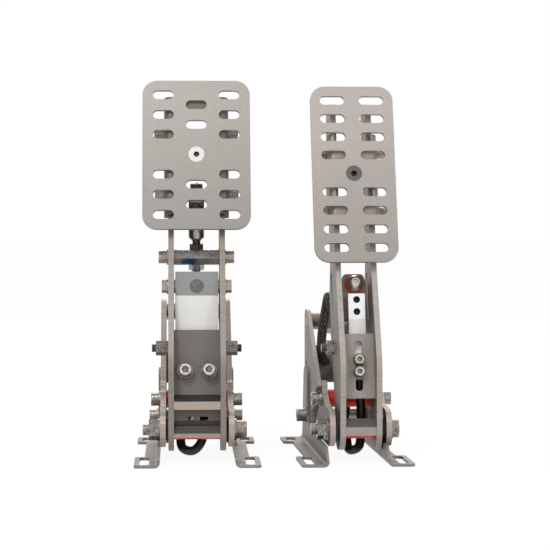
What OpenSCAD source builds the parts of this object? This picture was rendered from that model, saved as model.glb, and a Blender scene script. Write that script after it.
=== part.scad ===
// Sim racing pedal set: a brake module and a throttle module, each a free-standing unit.
// X points right, Y away from the driver, Z up. The floor is Z = 0.
// Each module is drawn in its own frame: X = 0 is its centre plane, Y = 0 the front edge of its feet.

/* [Sheet metal] */
// Thickness of the arm plates, pivot plates and front plates
plate_t = 4; // [3:0.5:5]
// Thickness of the face plates, face brackets and rear plates
sheet_t = 3; // [2:0.5:4]
// Thickness of the bent foot brackets
bracket_t = 2; // [1.5:0.5:3]
// Inside radius of every sheet bend
bend_r = 2; // [1:0.5:3]

/* [Base] */
// Length of a base along Y
base_l = 176; // [165:1:190]
// Length of the front foot along Y
front_foot_l = 50; // [46:1:55]
// Length of the rear foot along Y
rear_foot_l = 32; // [28:1:40]
// Reach of a brake foot from the outer face of its bracket
brake_foot_reach = 16.2; // [14:0.1:20]
// Reach of a throttle foot from the outer face of its bracket
throttle_foot_reach = 17.2; // [14:0.1:20]
// Depth of the notch between the feet
foot_notch = 7; // [3:0.5:9]
// Width of the mounting slots
slot_w = 7; // [5:0.5:8]
// Length of the front mounting slots
front_slot_l = 42; // [25:1:42]
// Length of the rear mounting slots
rear_slot_l = 21; // [15:1:24]
// Distance of the slots from the outer edge of the feet
slot_inset = 7; // [6:0.1:7.5]
// Height of the lower edge of the pivot plates
plate_ground = 11; // [8:0.5:13]

/* [Pivot] */
// Distance of the pivot from the front of the feet
pivot_y = 38; // [34:1:42]
// Height of the pivot
pivot_z = 23; // [21:0.5:27]
// Diameter of the pivot bolt
pivot_bolt_d = 8; // [6:1:8]
// Outer diameter of the red pivot tube
pivot_tube_d = 14; // [12:0.5:15]
// Wall of the plastic bushes in the arm plates
bush_wall = 1.5; // [1:0.25:2]
// Diameter of the flange of the bushes
bush_flange_d = 19; // [19:0.5:23]
// Radius of the lower end of the arm plates
arm_lobe_r = 15; // [13:0.5:16]
// Radius of the front lobe of the pivot plates
pivot_lobe_r = 14; // [12:0.5:15]

/* [Tower] */
// Distance of the stop bar from the front of the feet
stop_y = 84; // [82:1:88]
// Height of the stop bar
stop_z = 40.5; // [38:0.5:43]
// Diameter of the red stop bar
stop_bar_d = 13; // [11:0.5:15]
// Distance of the rear bar from the back of the base
rear_bar_in = 29; // [26:1:34]
// Height of the rear bar
rear_bar_z = 22; // [20:0.5:25]
// Diameter of the rear bar
rear_bar_d = 10; // [9:0.5:12]
// Distance of the rear plate from the back of the base
rear_plate_in = 42; // [40:1:46]
// Height of the lower edge of the rear plate
rear_plate_z = 48; // [46:1:52]
// Height of the rear plate from edge to edge
rear_plate_h = 28; // [22:1:30]
// Radius of the tower top round the trunnion
tower_lobe_r = 9; // [8:0.5:10]
// Height of the brake's trunnion
brake_t_z = 101; // [98:0.5:104]
// Height of the throttle's trunnion
throttle_t_z = 93; // [90:0.5:96]

/* [Arms] */
// Outer width of the brake arm
brake_arm_w = 41; // [38:1:44]
// Outer width of the throttle arm
throttle_arm_w = 30; // [29:1:34]
// Gap between a brake arm plate and its pivot plate
brake_gap = 1.9; // [1.6:0.1:3]
// Gap between a throttle arm plate and its pivot plate
throttle_gap = 3.2; // [2.5:0.1:4.5]
// Lean of the load cells and front plates from the vertical
spine_tilt = 12; // [10:0.5:14]
// Lean of the upper arms and of the faces from the vertical
face_tilt = 17; // [14:0.5:18]
// Width of the upper part of the arm plates
upper_arm_w = 30; // [28:1:34]
// Length of the upper part of the arm plates
upper_arm_l = 127; // [125:1:134]

/* [Faces] */
// Width of the brake face
brake_face_w = 78.5; // [70:0.5:90]
// Height of the brake face along its surface
brake_face_h = 113; // [112:0.5:118]
// Width of the throttle face
throttle_face_w = 61; // [58:0.5:70]
// Height of the throttle face along its surface
throttle_face_h = 133.5; // [132:0.5:140]
// Corner radius of the faces
face_corner_r = 11; // [6:0.5:14]
// Height of the face slots
face_slot_h = 6.7; // [5:0.1:7.5]
// Length of the brake face slots
brake_slot_l = 15.2; // [12:0.1:17]
// Distance of the brake's outer slots from its centre line
brake_slot_x = 24; // [22:0.5:26]
// Spacing of the brake face slots
brake_slot_pitch = 15.2; // [14:0.1:15.8]
// Length of the throttle face slots
throttle_slot_l = 18; // [14:0.1:20]
// Distance of the throttle's slots from its centre line
throttle_slot_x = 14.4; // [14:0.1:17]
// Spacing of the throttle face slots
throttle_slot_pitch = 14; // [12:0.1:14.6]
// Height of the middle of the brake face along its arm, from the bend
brake_face_at = 84.3; // [82:0.1:88]
// Height of the middle of the throttle face along its arm, from the bend
throttle_face_at = 69.8; // [68:0.1:74]

/* [Load cells] */
// Width of the brake load cell
brake_cell_w = 31; // [28:0.5:32]
// Thickness of the brake load cell
brake_cell_t = 18; // [16:0.5:20]
// Length of the brake load cell
brake_cell_l = 80; // [78:1:82]
// Width of the throttle load cell
throttle_cell_w = 12; // [10:0.5:14]
// Thickness of the throttle load cell
throttle_cell_t = 12; // [10:0.5:14]
// Length of the throttle load cell
throttle_cell_l = 62; // [60:1:63]
// Depth of the white potting in the front of the cells
potting_t = 2.5; // [1:0.5:3]

/* [Spring units] */
// Diameter of the spring rods
rod_d = 8; // [6:1:8]
// Diameter of the preload nuts
knob_d = 28; // [26:0.5:30]
// Diameter of the brake rubber rings
rubber_d = 26; // [22:0.5:30]
// Outer diameter of the throttle spring
spring_d = 18; // [16:0.5:18.5]
// Wire diameter of the throttle spring
spring_wire = 2.4; // [1.6:0.2:2.6]
// Turns of the throttle spring
spring_turns = 9; // [7:1:10]
// Play round the rod in the bore of the brake trunnion
brake_bore_play = 0.4; // [0.3:0.1:0.6]
// Play round the rod in the bore of the throttle trunnion
throttle_bore_play = 0.9; // [0.8:0.1:1.1]

/* [Leads] */
// Diameter of the load-cell leads
lead_d = 6.5; // [4:0.5:7]
// Diameter of the braided sleeve
sleeve_d = 7; // [6:0.5:8]

/* [Stance] */
// Distance between the centre planes of the two modules
module_pitch = 117.5; // [105:0.5:140]
// How far the throttle module stands behind the brake module
throttle_back = 1; // [0:0.5:20]
// Turn of the throttle module about the vertical
throttle_yaw = 2.5; // [0:0.5:5]

/* [Hidden] */
$fn = 48;

// Clearances
fit = 0.1;
hole_play = 0.4;
running_play = 0.05;
gap = 0.3;
big = 300;

// Widths across each module
brake_half = brake_arm_w / 2;
throttle_half = throttle_arm_w / 2;
brake_in = brake_half + brake_gap;
throttle_in = throttle_half + throttle_gap;
bend_out = bend_r + sheet_t;
bracket_bend = bend_r + bracket_t;

// Places counted from the back of the base, and the trunnion centres
rear_bar_y = base_l - rear_bar_in;
rear_plate_y = base_l - rear_plate_in;
brake_t_y = base_l - 16;
throttle_t_y = base_l - 14;

// Arm outline
arm_front_y = pivot_y - arm_lobe_r;
arm_knee_z = 72;
arm_bend_y = 55;
arm_bend_z = 137;
up = [sin(face_tilt), cos(face_tilt)];
rear = [cos(face_tilt), -sin(face_tilt)];
arm_top = [arm_bend_y, arm_bend_z] + upper_arm_l * up;
arm_top_rear = arm_top + upper_arm_w * rear;
arm_mid_rear = [arm_bend_y, arm_bend_z] + 12 * up + 33 * rear;

// Bolts of the face brackets, from the middle of the face, and the brackets' ends and windows
bolt_high = 21.5;
bolt_low = -25.5;
bolt_in = 9;
brake_bracket_z = [-44, 45];
brake_windows = [[12, 33], [-40, -11]];
brake_window_w = 25;
throttle_bracket_z = [-34, 31];
throttle_windows = [[22, 32], [-20, -8]];
throttle_window_w = 27;
angle_bar_at = [88, 145];

// Load-cell frame: u runs rearward and v upward from the pivot, leaning by spine_tilt
spine_front = -9.65;
cell_u = spine_front + plate_t;
brake_cell_top = 113.5;
throttle_cell_top = 97.2;
brake_stud_v = brake_cell_top - 10.8;
brake_stud_d = 10;
side_screw_v = brake_stud_v + 1.5;
brake_plate_v = [23.5, 70.5];
throttle_plate_v = [20.7, 67.3];
rod_end_r = 11;
eye_u = cell_u + brake_cell_t + 16;
seat_d = 13.8;
ball_d = 12;
throttle_plate_u = cell_u + throttle_cell_t;
ball_u = throttle_plate_u - 4.5;
ball_v = throttle_cell_top + 8.7;

function spine_y(u, v) = pivot_y + u * cos(spine_tilt) + v * sin(spine_tilt);
function spine_z(u, v) = pivot_z - u * sin(spine_tilt) + v * cos(spine_tilt);

brake_a = [spine_y(eye_u, brake_stud_v), spine_z(eye_u, brake_stud_v)];
throttle_a = [spine_y(ball_u, ball_v), spine_z(ball_u, ball_v)];
brake_run = [brake_t_y, brake_t_z] - brake_a;
throttle_run = [throttle_t_y, throttle_t_z] - throttle_a;
brake_rod_l = norm(brake_run);
throttle_rod_l = norm(throttle_run);
brake_rod_ang = atan2(brake_run[1], brake_run[0]);
throttle_rod_ang = atan2(throttle_run[1], throttle_run[0]);
trunnion_half = 8;
socket_z = 60;
journal_d = 8;

// Origin of the set: the middle of its footprint
set_shift = [-54.1, -93];

// Lead routes, chosen by hand, from the foot of each load cell to the sockets in the rear plates
brake_cell_low = brake_cell_top - brake_cell_l;
throttle_cell_low = throttle_cell_top - throttle_cell_l;
brake_exit = [spine_y(2.7, brake_cell_low), spine_z(2.7, brake_cell_low) - 0.6];
throttle_exit = [spine_y(3.8, throttle_cell_low), spine_z(3.8, throttle_cell_low) - 0.5];
socket_end = rear_plate_y - 10.4;
brake_route = [
    [5, brake_exit[0], brake_exit[1]], [5, brake_exit[0], brake_exit[1] - 8],
    [5, 48, brake_exit[1] / 2 + 9], [5, 49, 24], [3, 47, 13], [-3, 45, 7], [-10.5, 47, 9],
    [-12, 53, 18], [-12, 64, 24], [-9, 84, 24], [-4, 98, 34], [0, 106, 52],
    [0, socket_end - 8.6, socket_z], [0, socket_end, socket_z]
];
throttle_route = [
    [2, throttle_exit[0], throttle_exit[1]], [2, throttle_exit[0] - 1, throttle_exit[1] - 8],
    [3, 50, throttle_exit[1] / 2 + 8], [3, 50, 20], [1.5, 47, 10], [-3, 45, 7], [-6.5, 47.5, 8],
    [-7.2, 54, 18], [-7, 64, 24], [-5, 84, 24], [-2, 98, 34], [0, 106, 52],
    [0, socket_end - 8.6, socket_z], [0, socket_end, socket_z]
];
sleeve_route = [
    [-5, 60, 84], [-5, 68, 86], [-5, 80, 88], [-6.5, 92, 92], [-10, 102.5, 100], [-13.2, 108, 111],
    [-14, 112, 114], [-15.2, 114, 106], [-17, 115, 95], [-18.2, 116, 84], [-18.2, 118, 74],
    [-16.5, 124, 66.5], [-13.5, rear_plate_y - 1.4, 64]
];

// General shapes

function unit(v) = v / norm(v);

// Points of an arc that rounds the corner b between a and c
function corner_arc(a, b, c, r, n) =
    let (
        u = unit(a - b),
        w = unit(c - b),
        half = acos(u * w) / 2,
        centre = b + unit(u + w) * r / sin(half),
        p0 = b + u * r / tan(half) - centre,
        p1 = b + w * r / tan(half) - centre,
        a0 = atan2(p0[1], p0[0]),
        turn = (atan2(p1[1], p1[0]) - a0 + 540) % 360 - 180
    )
    [for (i = [0:n]) centre + r * [cos(a0 + turn * i / n), sin(a0 + turn * i / n)]];

// Outline through corner points [y, z, radius]
function rounded(p, n = 6) =
    let (m = len(p))
    [for (i = [0:m - 1])
        let (
            b = [p[i][0], p[i][1]],
            a = [p[(i + m - 1) % m][0], p[(i + m - 1) % m][1]],
            c = [p[(i + 1) % m][0], p[(i + 1) % m][1]]
        )
        each (p[i][2] == 0 ? [b] : corner_arc(a, b, c, p[i][2], n))];

// An outline in Y and Z made into a plate that starts at x and is t thick
module side_plate(x, t) {
    translate([x, 0, 0]) rotate([90, 0, 90]) linear_extrude(t) children();
}

module x_bore(p, d) {
    translate([-big / 2, p[0], p[1]]) rotate([0, 90, 0]) cylinder(d = d, h = big);
}

module x_rod(p, x0, x1, d) {
    translate([x0, p[0], p[1]]) rotate([0, 90, 0]) cylinder(d = d, h = x1 - x0);
}

module x_ring(p, x0, x1, outer, inner) {
    difference() {
        x_rod(p, x0, x1, outer);
        x_rod(p, x0 - 1, x1 + 1, inner);
    }
}

module slot_2d(l, w) {
    square([l - w, w], center = true);
    for (s = [-1, 1]) translate([s * (l - w) / 2, 0]) circle(d = w);
}

module rounded_rect(w, h, r) {
    square([w - 2 * r, h], center = true);
    square([w, h - 2 * r], center = true);
    for (sx = [-1, 1], sy = [-1, 1]) {
        translate([sx * (w / 2 - r), sy * (h / 2 - r)]) circle(r);
    }
}

// Round-ended bar outline from a to b with end radii ra and rb
module link_2d(a, ra, b, rb) {
    dir = atan2(b[1] - a[1], b[0] - a[0]);
    off = acos((ra - rb) / norm(b - a));
    translate(a) circle(ra);
    translate(b) circle(rb);
    polygon([
        a + ra * [cos(dir + off), sin(dir + off)],
        a + ra * [cos(dir - off), sin(dir - off)],
        b + rb * [cos(dir - off), sin(dir - off)],
        b + rb * [cos(dir + off), sin(dir + off)]
    ]);
}

// Socket-head screw: the head stands on z = 0 and the shank runs down
module cap_screw(d, l, head_h = 0) {
    h = head_h == 0 ? d : head_h;
    difference() {
        union() {
            cylinder(d = 1.65 * d, h = h);
            translate([0, 0, -l]) cylinder(d = d, h = l);
        }
        translate([0, 0, h / 2]) cylinder(d = 0.92 * d, h = h, $fn = 6);
    }
}

module hex_screw(d, l) {
    cylinder(d = 1.9 * d, h = 0.75 * d, $fn = 6);
    translate([0, 0, -l]) cylinder(d = d, h = l);
}

module hex_nut(d, h) {
    difference() {
        cylinder(d = 1.9 * d, h = h, $fn = 6);
        translate([0, 0, -1]) cylinder(d = d + 2 * running_play, h = h + 2);
    }
}

module washer(d, outer, h) {
    difference() {
        cylinder(d = outer, h = h);
        translate([0, 0, -1]) cylinder(d = d + hole_play, h = h + 2);
    }
}

// Turns z to point outward along x, at a place on the outer face x of side s
module outward(s, x, p) {
    translate([s * x, p[0], p[1]]) rotate([0, s * 90, 0]) children();
}

module mirror_left(s) {
    mirror([s < 0 ? 1 : 0, 0, 0]) children();
}

module on_spine() {
    translate([0, pivot_y, pivot_z]) rotate([-spine_tilt, 0, 0]) children();
}

module on_face(at) {
    p = [arm_bend_y, arm_bend_z] + at * up;
    translate([0, p[0], p[1]]) rotate([-face_tilt, 0, 0]) children();
}

module on_rod(a, ang) {
    translate([0, a[0], a[1]]) rotate([ang, 0, 0]) children();
}

// Ring or rod along the rod's own axis (local Y), from s0 to s1
module y_rod(s0, s1, d) {
    translate([0, s0, 0]) rotate([-90, 0, 0]) cylinder(d = d, h = s1 - s0);
}

module y_ring(s0, s1, outer, inner) {
    difference() {
        y_rod(s0, s1, outer);
        y_rod(s0 - 1, s1 + 1, inner);
    }
}

module place_brake() {
    translate([set_shift[0], set_shift[1], 0]) children();
}

module place_throttle() {
    translate([set_shift[0] + module_pitch, set_shift[1] + throttle_back, 0])
        rotate([0, 0, throttle_yaw]) children();
}

// Smooth route through the points, with n steps between neighbours
function route_point(p, i, t) =
    let (
        m = len(p) - 1,
        a = p[max(i - 1, 0)],
        b = p[i],
        c = p[min(i + 1, m)],
        d = p[min(i + 2, m)]
    )
    0.5 * (2 * b + (c - a) * t + (2 * a - 5 * b + 4 * c - d) * t * t
        + (3 * b - a - 3 * c + d) * t * t * t);

function route_path(p, n) = concat(
    [for (i = [0:len(p) - 2], k = [0:n - 1]) route_point(p, i, k / n)],
    [p[len(p) - 1]]
);

function tangents(q) = [for (i = [0:len(q) - 1])
    unit(q[min(i + 1, len(q) - 1)] - q[max(i - 1, 0)])];

function carried(t, n, i = 0) = i == len(t) ? [] :
    let (m = unit(n - (n * t[i]) * t[i])) concat([m], carried(t, m, i + 1));

module tube(q, d, sides, start) {
    t = tangents(q);
    n = carried(t, start);
    pts = [for (i = [0:len(q) - 1], k = [0:sides - 1])
        q[i] + d / 2 * (cos(360 * k / sides) * n[i] + sin(360 * k / sides) * cross(t[i], n[i]))];
    side = [for (i = [0:len(q) - 2], k = [0:sides - 1])
        let (a = i * sides + k, b = i * sides + (k + 1) % sides)
        each [[a, b + sides, b], [a, a + sides, b + sides]]];
    start_cap = [for (k = [0:sides - 1]) k];
    end_cap = [for (k = [sides - 1:-1:0]) (len(q) - 1) * sides + k];
    polyhedron(points = pts, faces = concat(side, [start_cap, end_cap]), convexity = 10);
}

// Base pieces

// Corner where the slope from p meets the level top of a tower with its lobe round t
function tower_corner(p, t) =
    let (
        slope = atan2(t[1] - p[1], t[0] - p[0]) + asin(tower_lobe_r / norm(t - p)),
        rise = t[1] + tower_lobe_r - p[1]
    )
    [p[0] + rise / tan(slope), p[1] + rise, tower_lobe_r];

// Front of the pivot plate: the lobe round the pivot, then the finger over the stop bar
pivot_plate_front = [
    [pivot_y - pivot_lobe_r, plate_ground, 10],
    [pivot_y - pivot_lobe_r, pivot_z + pivot_lobe_r, 12],
    [58, pivot_z + pivot_lobe_r + 1, 10],
    [stop_y - 8, 46, 6],
    [stop_y - 7, stop_z + 13, 3]
];
tower_back = base_l - 1;
wall_low = 13.5;

module pivot_plate_with_tower(t) {
    finger = [stop_y + 4, stop_z + 13];
    polygon(rounded(concat(pivot_plate_front, [
        [finger[0], finger[1], 4],
        tower_corner(finger, t),
        [tower_back, t[1] + tower_lobe_r, 8],
        [tower_back, plate_ground, 6]
    ])));
}

module low_pivot_plate() {
    polygon(rounded(concat(pivot_plate_front, [
        [stop_y + 8, stop_z + 13, 6],
        [rear_bar_y - 30, rear_bar_z + 12, 14],
        [rear_bar_y + 12, rear_bar_z + 12, 8],
        [rear_bar_y + 12, plate_ground, 8]
    ])));
}

// Separate tower that stands outside a low pivot plate
module tower_2d(t) {
    finger = [stop_y - 7, stop_z + 9];
    polygon(rounded([
        [finger[0], finger[1], 2],
        tower_corner(finger, t),
        [tower_back, t[1] + tower_lobe_r, 8],
        [tower_back, plate_ground, 6],
        [rear_bar_y - 22, plate_ground, 6],
        [rear_bar_y - 25, 27, 10],
        [stop_y + 16, 34, 8],
        [stop_y + 10, stop_z + 6, 4]
    ]));
}

// Wall of a foot bracket: low along the base, with a lug round the rear bar
module bracket_wall_2d() {
    polygon(rounded([
        [3, 0, 0],
        [3.5, 6, 2],
        [12, wall_low, 5],
        [56, wall_low, 4],
        [64, 18, 6],
        [rear_bar_y - 9, 18, 5],
        [rear_bar_y - 9, 58, 4],
        [rear_bar_y + 15, 58, 6],
        [base_l - 2, 0, 0]
    ]));
}

// Foot bracket with its wall's inner face at x = wall
module bracket(wall, reach) {
    outer = wall + bracket_t + reach;
    difference() {
        intersection() {
            translate([0, base_l, 0]) rotate([90, 0, 0])
                linear_extrude(base_l) bracket_section(wall, outer);
            union() {
                side_plate(wall - 1, bracket_t + 1 + bend_r) bracket_wall_2d();
                translate([0, 0, -1]) linear_extrude(bracket_bend + 1) foot_plan(wall, outer);
            }
        }
        translate([0, 0, -1]) linear_extrude(bracket_t + 2) foot_slots(outer - slot_inset);
        x_bore([rear_bar_y, rear_bar_z], 6 + hole_play);
    }
}

// L section: wall up, foot outward, with a rounded bend
module bracket_section(wall, outer) {
    centre = [wall + bracket_bend, bracket_bend];
    difference() {
        union() {
            translate([wall, centre[1]]) square([bracket_t, 120]);
            translate([centre[0], 0]) square([outer - centre[0], bracket_t]);
            translate(centre) circle(bracket_bend);
        }
        translate(centre) circle(bend_r);
        translate([centre[0], bracket_t]) square([outer, 120]);
        translate([wall + bracket_t, centre[1]]) square([outer, 120]);
    }
}

module foot_plan(wall, outer) {
    translate([wall - 1, 0]) square([outer - foot_notch - wall + 1, base_l]);
    foot_outline(wall, outer, 0, front_foot_l);
    foot_outline(wall, outer, base_l - rear_foot_l, rear_foot_l);
}

module foot_outline(wall, outer, y0, l) {
    translate([0, y0]) polygon(rounded([
        [wall, 0, 0],
        [outer, 0, 3],
        [outer, l, 3],
        [wall, l, 0]
    ]));
}

module foot_slots(x) {
    translate([x, front_foot_l / 2]) rotate(90) slot_2d(front_slot_l, slot_w);
    translate([x, base_l - rear_foot_l / 2]) rotate(90) slot_2d(rear_slot_l, slot_w);
}

// Narrow upright cut-outs in the tower
module tower_window(p) {
    translate([p[0] - 2, 48]) rotate(90) slot_2d(30, 6);
    translate([p[0] - 37, 44]) rotate(90) slot_2d(14, 6);
}

module rear_plate_tabs(x0, x1, play) {
    for (z = [rear_plate_z + 4, rear_plate_z + rear_plate_h - 12]) {
        translate([x0, rear_plate_y - play, z - play]) cube([x1 - x0, sheet_t + 2 * play, 8 + 2 * play]);
    }
}

module base_bores() {
    x_bore([pivot_y, pivot_z], pivot_bolt_d + hole_play);
    x_bore([stop_y, stop_z], 6 + hole_play);
    x_bore([rear_bar_y, rear_bar_z], 6 + hole_play);
}

module tower_holes(t, x0) {
    x_bore(t, journal_d + 2 * running_play);
    side_plate(0, big) tower_window(t);
    rear_plate_tabs(x0 - 1, x0 + plate_t + 1, fit);
}

// Pivot plate on the right side, with its inner face at x
module pivot_plate(x, t) {
    difference() {
        side_plate(x, plate_t) pivot_plate_with_tower(t);
        base_bores();
        tower_holes(t, x);
    }
}

module rear_plate(x0, x1, tab0, tab1) {
    difference() {
        union() {
            translate([x0, rear_plate_y, rear_plate_z]) cube([x1 - x0, sheet_t, rear_plate_h]);
            rear_plate_tabs(x0 - tab0, x1 + tab1, 0);
        }
        translate([0, rear_plate_y - 1, socket_z]) rotate([-90, 0, 0])
            cylinder(d = 12 + hole_play, h = sheet_t + 2);
    }
}

// Washer and cap screw on the outer face x of side s
module bar_screw(s, x, p) {
    outward(s, x, p) washer(6, 12, 1);
    outward(s, x + 1, p) cap_screw(6, 20);
}

module tapped_bar(p, x0, x1, d) {
    x_ring(p, x0, x1, d, 6 + 2 * running_play);
}

module pivot_bolt(in, head_h) {
    p = [pivot_y, pivot_z];
    seat = in + plate_t;
    outward(1, seat, p) washer(pivot_bolt_d, 16, 1.6);
    outward(1, seat + 1.6, p) cap_screw(pivot_bolt_d, 2 * seat + 14, head_h);
    outward(-1, seat, p) washer(pivot_bolt_d, 16, 1.6);
    outward(-1, seat + 1.6, p) hex_nut(pivot_bolt_d, 6.5);
}

module lead_socket() {
    translate([0, rear_plate_y, socket_z]) rotate([-90, 0, 0]) {
        difference() {
            union() {
                translate([0, 0, -2]) cylinder(d = 15, h = 2 - fit);
                translate([0, 0, -fit]) cylinder(d = 12, h = 12 + fit);
                translate([0, 0, -10]) cylinder(d = 9, h = 8);
            }
            translate([0, 0, 8]) cylinder(d = 9, h = 8);
        }
        translate([0, 0, sheet_t]) difference() {
            cylinder(d = 17, h = 2.5, $fn = 6);
            translate([0, 0, -1]) cylinder(d = 12 + 2 * running_play, h = 5);
        }
    }
}

// Arm pieces

module arm_outline() {
    foot_r = arm_lobe_r - 1;
    polygon(rounded([
        [arm_front_y, pivot_z - arm_lobe_r, foot_r],
        [arm_front_y, arm_knee_z, 40],
        [arm_bend_y, arm_bend_z, 60],
        [arm_top[0], arm_top[1], 5],
        [arm_top_rear[0], arm_top_rear[1], 9],
        [arm_mid_rear[0], arm_mid_rear[1], 16],
        [94, 118, 22],
        [80, 78, 60],
        [60, 44, 20],
        [pivot_y + arm_lobe_r, pivot_z - arm_lobe_r, foot_r]
    ], 8));
}

module arm_cut_outs() {
    link_2d([81, 128], 5.5, [71, 101], 2.8);
    link_2d([66, 90], 3, [64, 84], 2.4);
}

function face_point(at, inset) = [arm_bend_y, arm_bend_z] + at * up + inset * rear;

module plate_tabs(v, x0, x1, play) {
    for (k = [0:2]) {
        at = v[0] + 5 + k * (v[1] - v[0] - 15) / 2;
        translate([x0, spine_front - play, at - play])
            cube([x1 - x0, plate_t + 2 * play, 5 + 2 * play]);
    }
}

module arm_plate(half, face_at, plate_v) {
    difference() {
        side_plate(half - plate_t, plate_t) difference() {
            arm_outline();
            arm_cut_outs();
        }
        x_bore([pivot_y, pivot_z], pivot_tube_d + 2 * (running_play + bush_wall));
        x_bore(face_point(face_at + bolt_high, bolt_in), 6 + hole_play);
        x_bore(arm_bolt_at, 6);
        on_spine() translate([-1, 0, 0]) plate_tabs(plate_v, half - plate_t, half + 2, fit);
    }
}

module arm_bushes(half, clear) {
    bore = pivot_tube_d + 2 * running_play;
    for (s = [-1, 1]) mirror_left(s) {
        x_ring([pivot_y, pivot_z], half - plate_t, half + fit, bore + 2 * bush_wall, bore);
        x_ring([pivot_y, pivot_z], half, half + clear - gap, bush_flange_d, bore);
    }
}

module front_plate(half, v) {
    inner = half - plate_t;
    on_spine() {
        translate([-inner, spine_front, v[0]]) cube([2 * inner, plate_t, v[1] - v[0]]);
        for (s = [-1, 1]) mirror_left(s) plate_tabs(v, inner - 1, half, 0);
    }
}

// Bar between the arm plates: its lower front corner is at p and it turns up at the rear
module cross_bar(half, p, depth, h, turn) {
    inner = half - plate_t;
    translate([-inner, p[0], p[1]]) rotate([turn, 0, 0]) cube([2 * inner, depth, h]);
}

// Plate between heel bar and foot bar, with two windows, that hides the pivot tube
heel_plate_y = 28.5;
heel_plate_z = [27.3, 40];
module heel_plate(half) {
    inner = half - plate_t;
    difference() {
        translate([-inner, heel_plate_y, heel_plate_z[0]])
            cube([2 * inner, 2, heel_plate_z[1] - heel_plate_z[0]]);
        for (w = [[-6.4, 3.6], [1.4, 7.1]]) {
            translate([w[0], heel_plate_y - 1, 30.4]) cube([w[1], 4, 2.8]);
        }
    }
}

// Foot bar between the arm plates, in front of the pivot tube: outline in Y and Z
brake_foot = [[23.5, 18.6], [24, 21.6], [28, 26.8], [29.4, 25.8], [29, 20.5]];
throttle_foot = [[23.5, 19.4], [24, 25.4], [32, 31], [31.2, 29.2], [29, 20.5]];
module foot_bar(half, outline) {
    side_plate(-half + plate_t, 2 * (half - plate_t)) polygon(outline);
}

module face_bracket(half, at, low, high, windows, window_w) {
    inner = half;
    outer = half + sheet_t;
    on_face(at) translate([0, -bend_r, 0]) difference() {
        intersection() {
            translate([0, 0, low]) linear_extrude(high - low) difference() {
                bracket_u(outer, bend_out);
                translate([0, sheet_t]) bracket_u(inner, bend_r);
            }
            side_plate(-outer - 1, 2 * outer + 2) polygon(rounded([
                [-sheet_t - 1, low - 1, 0],
                [-sheet_t - 1, high + 1, 0],
                [8, high + 1, 0],
                [19, high - 8, 8],
                [19, low + 8, 8],
                [8, low - 1, 0]
            ]));
        }
        translate([0, -sheet_t - 1, 0]) rotate([-90, 0, 0]) cylinder(d = 6 + hole_play, h = sheet_t + 2);
        for (z = [bolt_high, bolt_low]) x_bore([bolt_in + bend_r, z], 6 + hole_play);
        for (w = windows) {
            translate([0, 2, (w[0] + w[1]) / 2]) rotate([90, 0, 0])
                linear_extrude(sheet_t * 3) rounded_rect(window_w, w[1] - w[0], 4);
        }
    }
}

// Filled U outline with round front corners, open towards +Y
module bracket_u(half, r) {
    translate([-half, -sheet_t + r]) square([2 * half, 60]);
    translate([-half + r, -sheet_t]) square([2 * half - 2 * r, 60]);
    for (s = [-1, 1]) translate([s * (half - r), -sheet_t + r]) circle(r);
}

module face_sheet(w, h, at) {
    on_face(at) translate([0, -sheet_t - bend_r, 0]) rotate([90, 0, 0]) linear_extrude(sheet_t) difference() {
        rounded_rect(w, h, face_corner_r);
        children();
    }
}

module brake_slots() {
    for (k = [-3:3]) {
        if (k != 0) {
            for (s = [-1, 1]) {
                translate([s * brake_slot_x, k * brake_slot_pitch]) slot_2d(brake_slot_l, face_slot_h);
            }
        }
    }
    for (k = [-2.5, -1.5, 1.5, 2.5]) {
        translate([0, k * brake_slot_pitch]) slot_2d(brake_slot_l, face_slot_h);
    }
}

module throttle_slots() {
    for (k = [-4:4]) {
        if (k != 0) {
            for (s = [-1, 1]) {
                translate([s * throttle_slot_x, k * throttle_slot_pitch])
                    slot_2d(throttle_slot_l, face_slot_h);
            }
        }
    }
}

// Countersunk hole and screw through face and bracket
module countersink(play) {
    translate([0, -2 * sheet_t - bend_r, 0]) rotate([-90, 0, 0]) {
        cylinder(d1 = 11.6 + 2 * play, d2 = 6 + 2 * play, h = 3);
        cylinder(d = 6 + 2 * play, h = 2 * sheet_t + 9);
    }
}

module face_screw(at) {
    on_face(at) {
        difference() {
            countersink(0);
            translate([0, -2 * sheet_t - bend_r - 1, 0]) rotate([-90, 0, 0])
                cylinder(d = 4.6, h = 3, $fn = 6);
        }
        translate([0, -bend_r, 0]) rotate([-90, 0, 0]) hex_nut(6, 5);
    }
}

module face_bolt_pair(half, at, z, l) {
    for (s = [-1, 1]) {
        outward(s, half + sheet_t, face_point(at + z, bolt_in)) washer(6, 12, 1.2);
        outward(s, half + sheet_t + 1.2, face_point(at + z, bolt_in)) cap_screw(6, l);
        outward(-s, -half + plate_t, face_point(at + z, bolt_in)) hex_nut(6, 4);
    }
}

// Brake module

brake_t = [brake_t_y, brake_t_z];
brake_inner = brake_half - plate_t;

module brake_bracket_right() {
    color([0.66, 0.63, 0.6]) place_brake() bracket(brake_in + plate_t, brake_foot_reach);
}

module brake_bracket_left() {
    color([0.66, 0.63, 0.6]) place_brake()
        mirror_left(-1) bracket(brake_in + plate_t, brake_foot_reach);
}

module brake_pivot_plate_right() {
    color([0.7, 0.67, 0.64]) place_brake() pivot_plate(brake_in, brake_t);
}

module brake_pivot_plate_left() {
    color([0.7, 0.67, 0.64]) place_brake() mirror_left(-1) pivot_plate(brake_in, brake_t);
}

module brake_lead() {
    color([0.1, 0.1, 0.1]) place_brake() tube(route_path(brake_route, 2), lead_d, 8, [1, 0, 0]);
}

module brake_arm_right() {
    color([0.7, 0.67, 0.64]) place_brake() difference() {
        arm_plate(brake_half, brake_face_at, brake_plate_v);
        x_bore(side_screw_at, 8);
        x_bore(angle_bar_at, 6 + hole_play);
        brake_tilt_slot();
    }
}

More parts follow.
